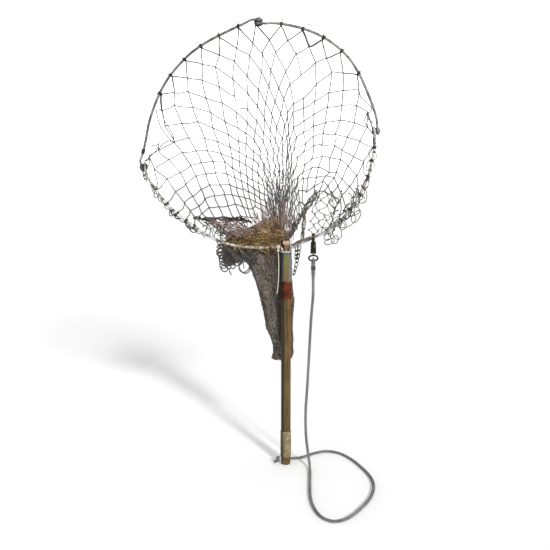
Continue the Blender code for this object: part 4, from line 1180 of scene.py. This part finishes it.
def oval(build, sizes, tilt, y, rng, radius, tone):
    """A closed loop of twine, a little out of round. Its x, z and half-sizes are in mm."""
    x, z, wide, tall = np.array(sizes) / 1000
    turn = circle(24)
    uneven = 1 + 0.08 * np.sin(2 * turn + rng.uniform(0, 6)) + 0.05 * np.sin(3 * turn + rng.uniform(0, 6))
    across, up = wide * uneven * np.cos(turn), tall * uneven * np.sin(turn)
    c, s = np.cos(np.radians(tilt)), np.sin(np.radians(tilt))
    depth = y + 0.003 * np.sin(turn + rng.uniform(0, 6))
    build.strands(xyz(x + across * c - up * s, depth, z + across * s + up * c), radius, 6, tone, cyclic=True)


def slack_patch(build, rng):
    """Slack open cells between the rolled edge, the lattice above and the rim below."""
    top = np.array(((0.07, 0.022, 0.683), (0.135, 0.016, 0.678)))
    foot = np.array(((0.053, 0.022, 0.576), (0.112, 0.01, 0.577)))
    columns, rows = 3, 10
    knots = {}
    for row in range(rows):
        down = row / (rows - 1)
        left, right = top * (1 - down) + foot * down
        for step in range(columns + 1 - row % 2):
            across = (step + 0.5 * (row % 2)) / columns
            shake = rng.normal(0, 1, 3) * (0.0026, 0.0015, 0.0024)
            knots[step, row] = left * (1 - across) + right * across + shake
    pairs = np.array([
        (point, knots[step + beside, row + 1])
        for (step, row), point in knots.items()
        for beside in ((0, 1) if row % 2 else (-1, 0)) if (step + beside, row + 1) in knots
    ])
    bars = wobbled(pairs[:, 0], pairs[:, 1], rng, 7, 0.08, 0.0012)
    build.strands(bars, 0.0009, 6, rng.uniform(0.6, 1.0, len(pairs)))
    knot_coils(build, np.array(list(knots.values())), 0.0014, rng, 0.2)


def rolled(build, rng, points, count, wide):
    """Netting rolled up lengthways: strands that cross as they wind both ways round a line."""
    spine = resampled(smooth_route(points, 8), 30)
    t = np.linspace(0.0, 1.0, 30)
    for index in range(count):
        turns = rng.uniform(14.0, 22.0) * lengths(spine)[-1] * (-1) ** index
        reach = wide * rng.uniform(0.55, 1.0) * (0.45 + 0.55 * np.sin(np.pi * t) ** 0.6)
        line = around(spine, 2 * np.pi * (index / count + t * turns), reach)
        line = line + rng.normal(0, 0.0004, line.shape)
        build.strands(line, rng.uniform(0.0007, 0.001), 6, rng.uniform(0.35, 1.0))
        knot_coils(build, line[rng.integers(2, 28, 2)], 0.0014, rng, 0.15)


def rim_strands(build, rng):
    """Two slack strands inside the lower right rim, and short bars that cross between them."""
    for index in range(2):
        at = np.linspace(-24.0 - rng.uniform(0, 5), -47.0 - rng.uniform(0, 4), 30)
        centre = rim_at_angle(at)
        offset = 0.006 + 0.005 * index + 0.003 * np.sin(np.linspace(0, rng.uniform(8, 16), 30) + index)
        line = centre + unit(NET_CENTRE - centre) * offset[:, None] + BEHIND * (0.003 + 0.0012 * index)
        build.strands(line, 0.001, 6, rng.uniform(0.4, 0.8))
    n = 9
    a = rim_at_angle(rng.uniform(-50, -24, n))
    inward = unit(NET_CENTRE - a)
    a = a + inward * rng.uniform(0.002, 0.008, (n, 1)) + BEHIND * rng.uniform(0.002, 0.01, (n, 1))
    b = a + inward * rng.uniform(0.01, 0.024, (n, 1)) + rng.normal(0, 0.007, (n, 3)) * (1, 0.4, 1)
    build.strands(wobbled(a, b, rng, 7, 0.1, 0.0012), 0.0009, 6, rng.uniform(0.5, 1.0, n))
    knot_coils(build, b, 0.0013, rng, 0.2)


def thick_strand(build, rng):
    """A thick strand across the lower left of the hoop, with knots on it."""
    x = np.linspace(-0.226, -0.084, 46)
    drop = np.interp(x, (-0.226, -0.2, -0.11, -0.084), (0.0045, 0.0, 0.0, -0.0085))
    for lift in (0.0, 0.0022, -0.002):
        sway = 0.0011 * np.sin(x * 170 + lift * 900) + 0.0009 * np.sin(x * 410 + 1.0)
        line = xyz(x, 0.022 + 0.002 * np.sin(x * 200 + lift * 700), 0.615 + drop + lift + sway)
        build.strands(line, 0.0013, 6, 0.15)
        knot_coils(build, line[rng.integers(4, 42, 7)], 0.0026, rng, 0.05, 0.0012)


def chain(build, rng, places):
    ends = in_plane(places) + BEHIND * 0.0205
    for a, b in zip(ends, ends[1:]):
        axis = unit(b - a)
        across = unit(np.cross(axis, BEHIND)) * rng.uniform(0.0024, 0.0036)
        across = across + BEHIND * rng.uniform(-0.002, 0.002)
        turn = circle(16)
        link = (a + b) / 2 + np.outer(np.cos(turn) * 0.0066, axis) + np.outer(np.sin(turn), across)
        build.strands(link, 0.0011, 6, rng.uniform(0.05, 0.3), cyclic=True)
        knot_coils(build, b[None], 0.0017, rng, 0.1, 0.0011)


def build_slack_net():
    """Slack netting along the lower rim, its rolled edge and the chains of loops by the ferrule."""
    rng = np.random.default_rng(47)
    build = Build()
    slack_loops(build, rng, (-20.0, -44.0), 3, (0.003, 0.008), 0.5)
    slack_loops(build, rng, (197.0, 201.0), 2, (0.004, 0.008), 0.2)
    slack_loops(build, rng, (208.0, 236.0), 9, (0.003, 0.01), 0.2)
    for *sizes, tilt in RIM_LOOPS:
        y, tone = rng.uniform(-0.004, 0.009), rng.uniform(0.5, 0.95)
        oval(build, sizes, tilt, y, rng, 0.0011, tone)
    rim_strands(build, rng)
    slack_patch(build, rng)
    for points, count, wide in ROLLS:
        rolled(build, rng, points, count, wide)
    # Slack bars between the rim and the thick strand, at the lower left.
    a = rim_at_x(np.array((-0.196, -0.186, -0.176, -0.166, -0.158, -0.15))) + (0.0, 0.003, 0.003)
    b = xyz((-0.205, -0.199, -0.184, -0.17, -0.158, -0.147), 0.02, (0.612, 0.606, 0.613, 0.604, 0.6, 0.596))
    build.strands(wobbled(a, b, rng, 9, -0.05, 0.0035), 0.0011, 6, rng.uniform(0.1, 0.6, 6))
    knot_coils(build, (a + b) / 2, 0.0016, rng, 0.1)
    for sizes in LEFT_LOOPS:
        oval(build, sizes, rng.uniform(-40, 40), 0.014, rng, 0.001, 0.35)
    thick_strand(build, rng)
    for sizes in STRAND_LOOPS:
        oval(build, sizes, rng.uniform(-30, 30), 0.024, rng, 0.001, 0.2)
    for places in CHAINS:
        chain(build, rng, places)
    build.finish("slack_net", LACING_TWINE, "net_twine", "root")


# ---------------------------------------------------------------- tangled netting in the foot of the hoop
HEAP_X = (-0.147, -0.138, -0.12, -0.09, -0.07, -0.05, -0.026, -0.012, -0.002)
HEAP_HEIGHT = (0.016, 0.027, 0.034, 0.041, 0.052, 0.064, 0.069, 0.062, 0.034)
HEAP_Y = 0.03
HEAP_DEPTH = 0.0125
RIM_END_X = -0.0301


def heap_section(x):
    """The heap's middle height and half-height at an x."""
    half = (np.interp(x, HEAP_X, HEAP_HEIGHT) + 0.004) / 2
    return rim_height(np.clip(x, -0.2, RIM_END_X)) - 0.004 + half, half


def waves(rng, kinds, low, high):
    """Random sine waves over a surface: each is (frequency a, frequency b, phase)."""
    return [(rng.uniform(low, high), rng.uniform(low, high), rng.uniform(0, 2 * np.pi)) for _ in range(kinds)]


def ripple(a, b, kinds):
    return sum(np.sin(a * p + b * q + r) for p, q, r in kinds) / len(kinds) ** 0.5


def heap_arcs(rng, count, size):
    """Curved threads that lie on the heap's front, back and inside."""
    x = rng.uniform(HEAP_X[0] + 0.004, HEAP_X[-1] - 0.004, (count, 1))
    middle, half = heap_section(x)
    z = middle + half * rng.uniform(-0.95, 0.95, (count, 1))
    bend = rng.uniform(*size, (count, 1))
    begin = rng.uniform(0, 2 * np.pi, (count, 1))
    sweep = rng.uniform(0.5, 2.6, (count, 1)) * rng.choice((-1, 1), (count, 1))
    angle = begin + sweep * np.linspace(-0.5, 0.5, 11)
    x = x + bend * (np.cos(angle) - np.cos(begin)) * 1.4 + rng.normal(0, 0.0007, angle.shape)
    z = z + bend * (np.sin(angle) - np.sin(begin)) * 0.75 + rng.normal(0, 0.0007, angle.shape)
    x = np.clip(x, HEAP_X[0], HEAP_X[-1])
    middle, half = heap_section(x)
    up = np.clip((z - middle) / half, -1.0, 1.12)
    face = np.where(rng.uniform(size=(count, 1)) < 0.68, -1.0, 1.0)
    depth = HEAP_DEPTH * np.sqrt(np.maximum(1 - up**2, 0.0))
    depth = depth * np.interp(x, (-0.147, -0.12, -0.015, -0.002), (0.4, 1, 1, 0.6))
    y = HEAP_Y + face * (depth + rng.uniform(0.0, 0.0035, (count, 1)) + rng.normal(0, 0.0005, x.shape))
    return xyz(x, y, middle + up * half)


def build_heap():
    rng = np.random.default_rng(53)
    xs = np.linspace(HEAP_X[0] + 0.006, HEAP_X[-1] - 0.004, 56)
    angles = circle(40)
    kinds = waves(rng, 5, 60.0, 190.0)
    rings = []
    for x, middle, half in zip(xs, *heap_section(xs)):
        end = min(1.0, min(x - xs[0], xs[-1] - x) / 0.01 + 0.15) ** 0.5
        bulge = 1.0 + 0.1 * ripple(x, angles / 40, kinds) + 0.05 * np.sin(angles * 7 + x * 400)
        rings.append(xyz(
            x + 0.001 * np.sin(angles * 3),
            HEAP_Y + HEAP_DEPTH * 0.88 * end * bulge * np.cos(angles),
            middle - 0.1 * half + (0.86 * half - 0.002) * end * (0.92 + 0.08 * bulge) * np.sin(angles),
        ))
    Build().rings(np.array([rings]), 0.5).finish("heap_core", HEAP_MAT, "bunch_twine", "root")
    threads = Build()
    for count, size, radii, sides, tones in (
        (640, (0.012, 0.05), (0.00045, 0.00085), 5, (1.2, 1.9)),
        (220, (0.005, 0.014), (0.0003, 0.0006), 4, (1.6, 1.8)),
    ):
        arcs = heap_arcs(rng, count, size)
        threads.strands(arcs, rng.uniform(*radii, count), sides, rng.beta(*tones, count))
    # Threads laid over and under the rim wire along the foot of the heap.
    for x in np.arange(-0.146, -0.024, 0.0135):
        x = x + rng.uniform(-0.003, 0.003)
        centre = rim_at_x(x)
        coils(threads, centre, unit(rim_at_x(x + 0.002) - centre), rng.uniform(0.9, 1.8),
              rng.uniform(0.0016, 0.0034), rng, rng.uniform(0.0006, 0.0011), rng.uniform(0.15, 0.6))
    n = 40
    x = rng.uniform(-0.146, -0.01, n)
    foot = xyz(x, 0.0, rim_height(np.minimum(x, RIM_END_X)))
    over = [
        foot + xyz(rng.normal(0, spread, n), rng.uniform(*depth, n), rng.uniform(*height, n))
        for spread, depth, height in (
            (0.004, (0.006, 0.016), (0.004, 0.016)), (0.009, (-0.0065, -0.0042), (-0.002, 0.004)),
            (0.01, (0.004, 0.018), (-0.02, -0.006)),
        )
    ]
    over = np.stack([smooth_route(line, 4) for line in np.stack(over, axis=1)])
    threads.strands(over, rng.uniform(0.0004, 0.0007, n), 5, rng.uniform(0.3, 0.9, n))
    threads.finish("heap_threads", BROWN_TWINE, "bunch_twine", "root", "inner_net_bunch")


def gathered_band(build, rng):
    """The band of twine along the rim wire, thick at the wedge and thin at the snap."""
    def height(x):
        on_tang = np.interp(x, (0.01, 0.017, 0.0322), (0.5462, 0.549, 0.557))
        return np.where(x < 0.0322, on_tang, rim_height(x, "right"))

    x = np.linspace(0.0115, 0.06, 30)
    spine = xyz(x, 0.0006, height(x) + 0.0058)
    t = np.linspace(0.0, 1.0, 30)
    for index in range(16):
        turn = 2 * np.pi * (index / 16 + t * rng.uniform(0.3, 1.1))
        wide = rng.uniform(0.4, 1.0) * np.interp(t, (0.0, 0.25, 1.0), (0.0026, 0.0036, 0.0012))
        build.strands(spine + xyz(0.0, wide * np.cos(turn), wide * np.sin(turn)), 0.0008, 5,
                      rng.uniform(0.1, 0.8))
    for x in (0.02, 0.0275, 0.035, 0.044, 0.051):
        turn = np.linspace(0, 2 * np.pi * 1.6, 26) + rng.uniform(0, 6)
        tall = 0.0062 - 0.035 * (x - 0.02)
        rise = height(x) + 0.0022 + tall * np.sin(turn)
        line = xyz(x + 0.002 * (turn / turn[-1] - 0.5), 0.0046 * np.cos(turn), rise)
        build.strands(line, 0.0007, 5, rng.uniform(0.2, 0.6))


def build_mauve():
    """Gathered twine that runs into the heap from the left and right, and along the rim to the snap."""
    rng = np.random.default_rng(59)
    build = Build()
    n = 44
    t = rng.uniform(0.0, 1.0, n)
    routes = [(-0.206, 0.026, 0.615) + np.outer(t, (0.08, 0.0, 0.001)) + rng.normal(0, 0.003, (n, 3))]
    for spread, begin, run in (
        (0.2, (-0.17, 0.02, 0.595), (0.06, 0.0, 0.006)), (0.25, (-0.138, 0.016, 0.566), (0.06, 0.0, 0.02)),
    ):
        t = np.clip(t + rng.normal(0, spread, n), 0, 1)
        routes.append(begin + np.outer(t, run) + rng.normal(0, 0.003, (n, 3)))
    lines = np.stack([smooth_route(line, 6) for line in np.stack(routes, axis=1)])
    lines += rng.normal(0, 0.0007, lines.shape)
    build.strands(lines, rng.uniform(0.0006, 0.001, n), 6, rng.uniform(0.1, 1.0, n))
    knot_coils(build, lines[rng.integers(0, n, 26), rng.integers(1, 9, 26)], 0.0019, rng, 0.05, 0.001)
    # Strands of the bag that come down over the front of the heap, and beside it.
    n = 46
    x = np.linspace(-0.092, 0.0, n) + rng.normal(0, 0.001, n)
    high = np.interp(x, (-0.092, -0.06, -0.01, 0.0), (0.612, 0.64, 0.668, 0.655))
    top = xyz(x, rng.uniform(0.026, 0.034, n), high + rng.normal(0, 0.009, n))
    low = np.interp(x, (-0.092, -0.01, 0.0), (0.574, 0.592, 0.575)) + rng.normal(0, 0.008, n)
    foot = xyz(-0.026 + (x + 0.035) * 0.8, 0.015, low)
    lines = wobbled(top, foot, rng, 9, 0.0, 0.001)
    build.strands(lines, rng.uniform(0.0005, 0.0008, n), 6, rng.uniform(0.2, 1.0, n))
    n = 34
    x = rng.uniform(-0.06, 0.028, n)
    top = xyz(x, rng.uniform(0.026, 0.042, n),
              np.interp(x, (-0.06, -0.02, 0.03), (0.628, 0.64, 0.625)) + rng.normal(0, 0.008, n))
    low_x = np.interp(x, (-0.06, 0.0, 0.028), (-0.052, 0.002, 0.014)) + rng.normal(0, 0.003, n)
    foot = xyz(low_x, rng.uniform(0.016, 0.03, n), 0.563 + rng.normal(0, 0.005, n))
    lines = wobbled(top, foot, rng, 9, 0.0, 0.0012)
    build.strands(lines, rng.uniform(0.0006, 0.0009, n), 6, rng.uniform(0.2, 1.0, n))
    gathered_band(build, rng)
    build.finish("gathered_twine", MAUVE_TWINE, "bunch_twine", "root")


# ---------------------------------------------------------------- matted tail of the bag
# Each level, from the foot up: z, centre x, half-width, centre y, half-depth.
TAIL_LEVELS = np.array((
    (0.261, -0.0105, 0.0238, 0.043, 0.019), (0.276, -0.0066, 0.0236, 0.043, 0.0195),
    (0.298, -0.0068, 0.0233, 0.043, 0.021), (0.319, -0.011, 0.027, 0.043, 0.0215),
    (0.341, -0.0168, 0.0312, 0.043, 0.0225), (0.381, -0.0183, 0.035, 0.043, 0.0235),
    (0.411, -0.021, 0.04, 0.043, 0.0235), (0.441, -0.0268, 0.0415, 0.043, 0.0235),
    (0.468, -0.032, 0.0445, 0.043, 0.0235), (0.5, -0.0382, 0.051, 0.0425, 0.0235),
    (0.54, -0.055, 0.065, 0.0425, 0.0225), (0.562, -0.06, 0.065, 0.041, 0.0185),
    (0.585, -0.05, 0.06, 0.038, 0.012),
))


def tail_level(z, column):
    return np.interp(z, TAIL_LEVELS[:, 0], TAIL_LEVELS[:, column])


def tail_at(angle, z, lift=0.0):
    """A point on the tail by its angle round it and its height."""
    x, wide, y, deep = (tail_level(z, column) for column in (1, 2, 3, 4))
    fold = 1.0 + 0.05 * np.sin(angle * 5 + z * 31) + 0.035 * np.sin(angle * 9 - z * 67 + 1.0)
    fold = fold + 0.02 * np.sin(angle * 17 + z * 150)
    out = (wide * (0.95 + 0.05 * fold) + lift) * np.cos(angle)
    return xyz(x + out, y + (deep * fold + lift) * rounded(np.sin(angle), 0.85), z)


def tail_mat(rng):
    """The tail's closed shell of matted fibre."""
    angles = circle(120)
    rough = waves(rng, 9, 90.0, 420.0)
    rings = []
    for z in np.linspace(0.584, 0.262, 150):
        ring = tail_at(angles, z)
        bump = 0.0007 * ripple(ring[:, 0], ring[:, 2] + ring[:, 1], rough) * 1.4
        rings.append(ring + xyz(bump * np.cos(angles), bump * np.sin(angles), 0.0))
    top, foot = rings[0], rings[-1]
    for share, drop in ((0.95, 0.0008), (0.72, 0.0014), (0.4, 0.0014), (0.08, 0.0008)):
        ring = foot.mean(0) + (foot - foot.mean(0)) * share
        rings.append(ring + xyz(0.0, 0.0, 0.0007 * np.sin(angles * 6) - drop))
    for share in (0.7, 0.15):
        rings.insert(0, top.mean(0) + (rings[0] - top.mean(0)) * share + UP * 0.002)
    shell = Build().rings(np.array([rings])[:, ::-1], 0.5)
    shell.finish("tail_mat", TAIL_MAT, "net_twine", "root", "net_tail")


def tail_net(rng):
    """Netting drawn tight over the tail in long diamonds, and its folded edges as long pleats."""
    net = Build()
    n = 30
    knots = []
    for row, z in enumerate(np.arange(0.578, 0.262, -0.0125)):
        angle = 2 * np.pi * (np.arange(n) + 0.5 * (row % 2)) / n + rng.normal(0, 0.05, n)
        knots.append(np.stack([angle, z + rng.normal(0, 0.0022, n)], axis=1))
    lines = []
    t = np.linspace(0, 1, 5)
    for row, (a, b) in enumerate(zip(knots, knots[1:])):
        for shift in ((0, 1) if row % 2 else (0, -1)):
            across, down = (np.roll(b, -shift, axis=0) - a).T[:, :, None]
            across = (across + np.pi) % (2 * np.pi) - np.pi
            lines.append(tail_at(a[:, :1] + across * t, a[:, 1:] + down * t, 0.0007))
    lines = np.concatenate(lines)
    flank = lines[:, 0, 0] < tail_level(lines[:, 0, 2], 1)
    keep = rng.uniform(size=len(lines)) < np.where(flank, 0.6, 0.85)
    net.strands(lines[keep], 0.0009, 5, (rng.uniform(0.1, 0.6, len(lines)) + 0.45 * flank)[keep])
    angle, z = np.concatenate(knots)[::2].T
    knot_coils(net, tail_at(angle, z, 0.001), 0.0013, rng, 0.2)
    for _ in range(16):
        z = np.linspace(rng.uniform(0.5, 0.58), rng.uniform(0.262, 0.42), 34)
        angle = rng.uniform(0, 2 * np.pi) + np.cumsum(rng.normal(0, 0.035, 34))
        net.strands(tail_at(angle, z, 0.0012), 0.0011, 5, rng.uniform(0.0, 0.4))
    net.finish("tail_net", NET_TWINE, "net_twine", "root")


def drift(rng, start, lean, shake, n, steps):
    """Values that wander on from a start, each line with a lean of its own if there is any."""
    lean = rng.normal(0, 1, (n, 1)) * lean if lean else 0.0
    return start + np.cumsum(lean + rng.normal(0, shake, (n, steps)), axis=1)


def tail_threads(rng):
    """Loose threads over the tail."""
    n, steps = 900, 9
    angle = drift(rng, rng.uniform(0, 2 * np.pi, (n, 1)), 0.055, 0.055, n, steps)
    z = drift(rng, 0.27 + 0.3 * rng.uniform(0, 1, (n, 1)) ** 0.9, 0.0026, 0.0022, n, steps)
    lift = rng.uniform(0.0008, 0.003, (n, 1)) * np.ones((1, steps))
    lift[:, -1] += rng.uniform(0, 0.004, n) * (rng.uniform(size=n) < 0.3)
    tone = np.where(rng.uniform(size=n) < 0.22, rng.uniform(0.7, 1.0, n), rng.uniform(0.0, 0.55, n))
    lines = tail_at(angle, np.clip(z, 0.2612, 0.582), lift)
    flank = lines[:, 0, 0] < tail_level(lines[:, 0, 2], 1) - 0.004
    keep = ~flank | (rng.uniform(size=n) < 0.45)
    radius = rng.uniform(0.00025, 0.0005, n) + 0.0002 * (tone > 0.6)
    fuzz = Build().strands(lines[keep], radius[keep], 4, np.clip(tone + 0.25 * flank, 0.0, 1.0)[keep])
    fuzz.finish("tail_threads", FUZZ_TWINE, "net_twine", "root")


def build_tail():
    rng = np.random.default_rng(61)
    tail_mat(rng)
    tail_net(rng)
    tail_threads(rng)


# ---------------------------------------------------------------- ragged edge of the bag below the rim
SKIRT_X = (-0.156, -0.15, -0.142, -0.132, -0.118, -0.104, -0.092, -0.082, -0.07)
SKIRT_FOOT = (0.516, 0.502, 0.5, 0.502, 0.508, 0.513, 0.511, 0.496, 0.48)
# Loops along its left side and its bottom edge, and a large double loop below it.
# Each is its x, z, half-width and half-height.
SKIRT_LOOPS = (
    *((-0.16 + 0.0012 * k, 0.5465 - 0.0078 * k, 0.0098, 0.0044) for k in range(6)),
    (-0.1545, 0.502, 0.008, 0.0065), (-0.15, 0.493, 0.0078, 0.0072),
    (-0.1405, 0.4985, 0.0056, 0.0052), (-0.131, 0.5, 0.0056, 0.0052), (-0.1215, 0.505, 0.0056, 0.0052),
    (-0.113, 0.509, 0.0056, 0.0052), (-0.1017, 0.4965, 0.013, 0.015), (-0.1025, 0.4975, 0.0122, 0.0138),
)
SKIRT_ENDS = (
    ((-0.144, 0.022, 0.496), (-0.139, 0.021, 0.49), (-0.137, 0.02, 0.483), (-0.133, 0.019, 0.478)),
    ((-0.104, 0.021, 0.508), (-0.1035, 0.02, 0.5), (-0.103, 0.02, 0.4935)),
    ((-0.1, 0.019, 0.554), (-0.101, 0.016, 0.54), (-0.0985, 0.015, 0.53), (-0.099, 0.016, 0.519)),
)


def build_skirt():
    rng = np.random.default_rng(67)
    angles = circle(48)
    kinds = waves(rng, 6, 60.0, 260.0)

    def skirt_y(x, z):
        return np.interp(z, (0.49, 0.555), (0.03, 0.012)) + 0.0035 * ripple(x, z, kinds)

    def on_skirt(x, share, lift=0.0):
        foot = np.interp(x, SKIRT_X, SKIRT_FOOT)
        z = foot + (rim_height(x) - 0.001 - foot) * share
        return xyz(x, skirt_y(x, z) - 0.002 - lift, z)

    rings = []
    for x in np.linspace(SKIRT_X[0], SKIRT_X[-1], 60):
        foot = np.interp(x, SKIRT_X, SKIRT_FOOT) + 0.0016 * np.sin(x * 900) + 0.001 * np.sin(x * 2100)
        head = rim_height(x) - 0.001
        z = (foot + head) / 2 + (head - foot) / 2 * np.sin(angles)
        thick = 0.0013 + 0.0004 * ripple(x * 2, z * 2, kinds)
        rings.append(xyz(x, skirt_y(x, z) + thick * np.cos(angles), z))
    Build().rings(np.array([rings]), 0.5).finish("skirt_mat", SKIRT_MAT, "net_twine", "root")
    build = Build()
    for side in (0.0, -0.0045):
        for x in np.arange(-0.166, -0.07, 0.0075):
            share = np.linspace(1.02, 0.0, 14)
            line = on_skirt(x + 0.0035 * np.sin(share * 11 + x * 300), share, side)
            build.strands(line, 0.0009, 5, rng.uniform(0.0, 0.5))
        for share in np.linspace(0.06, 0.95, 8):
            x = np.linspace(-0.167, -0.07, 40)
            line = on_skirt(x, share + 0.05 * np.sin(x * 420 + share * 20), side)
            build.strands(line, 0.0009, 5, rng.uniform(0.0, 0.5))
    turn = circle(20)
    for x, z, wide, tall in SKIRT_LOOPS:
        skew = rng.uniform(-0.25, 0.25)
        if wide < 0.012:
            x, z = (x, z) + rng.normal(0, 0.0011, 2)
            wide, tall = (wide, tall) * rng.uniform(0.82, 1.12, 2)
        out = wide * np.cos(turn + skew) * (1 + 0.08 * np.sin(2 * turn + x * 900))
        ring = xyz(x + out, 0.02 + 0.003 * np.sin(turn + x * 700), z + tall * np.sin(turn))
        build.strands(ring, 0.0015, 6, rng.uniform(0.05, 0.3), cyclic=True)
    for line in SKIRT_ENDS:
        build.strands(resampled(smooth_route(line, 5), 14), 0.0013, 6, 0.3)
    n = 260
    x = drift(rng, rng.uniform(-0.158, -0.078, (n, 1)), 0.0, 0.0022, n, 8)
    share = drift(rng, rng.uniform(0.05, 1.0, (n, 1)), 0.0, 0.05, n, 8)
    back = np.where(rng.uniform(size=(n, 1)) < 0.4, -0.0048, 0.0006)
    fuzz = on_skirt(np.clip(x, -0.162, -0.072), np.clip(share, -0.06, 1.0)) - BEHIND * back[..., None]
    build.strands(fuzz, rng.uniform(0.0003, 0.0006, n), 4, rng.uniform(0.2, 1.0, n))
    build.finish("skirt_net", NET_TWINE, "net_twine", "root")


build_hitches()
build_slack_net()
build_heap()
build_mauve()
build_tail()
build_skirt()
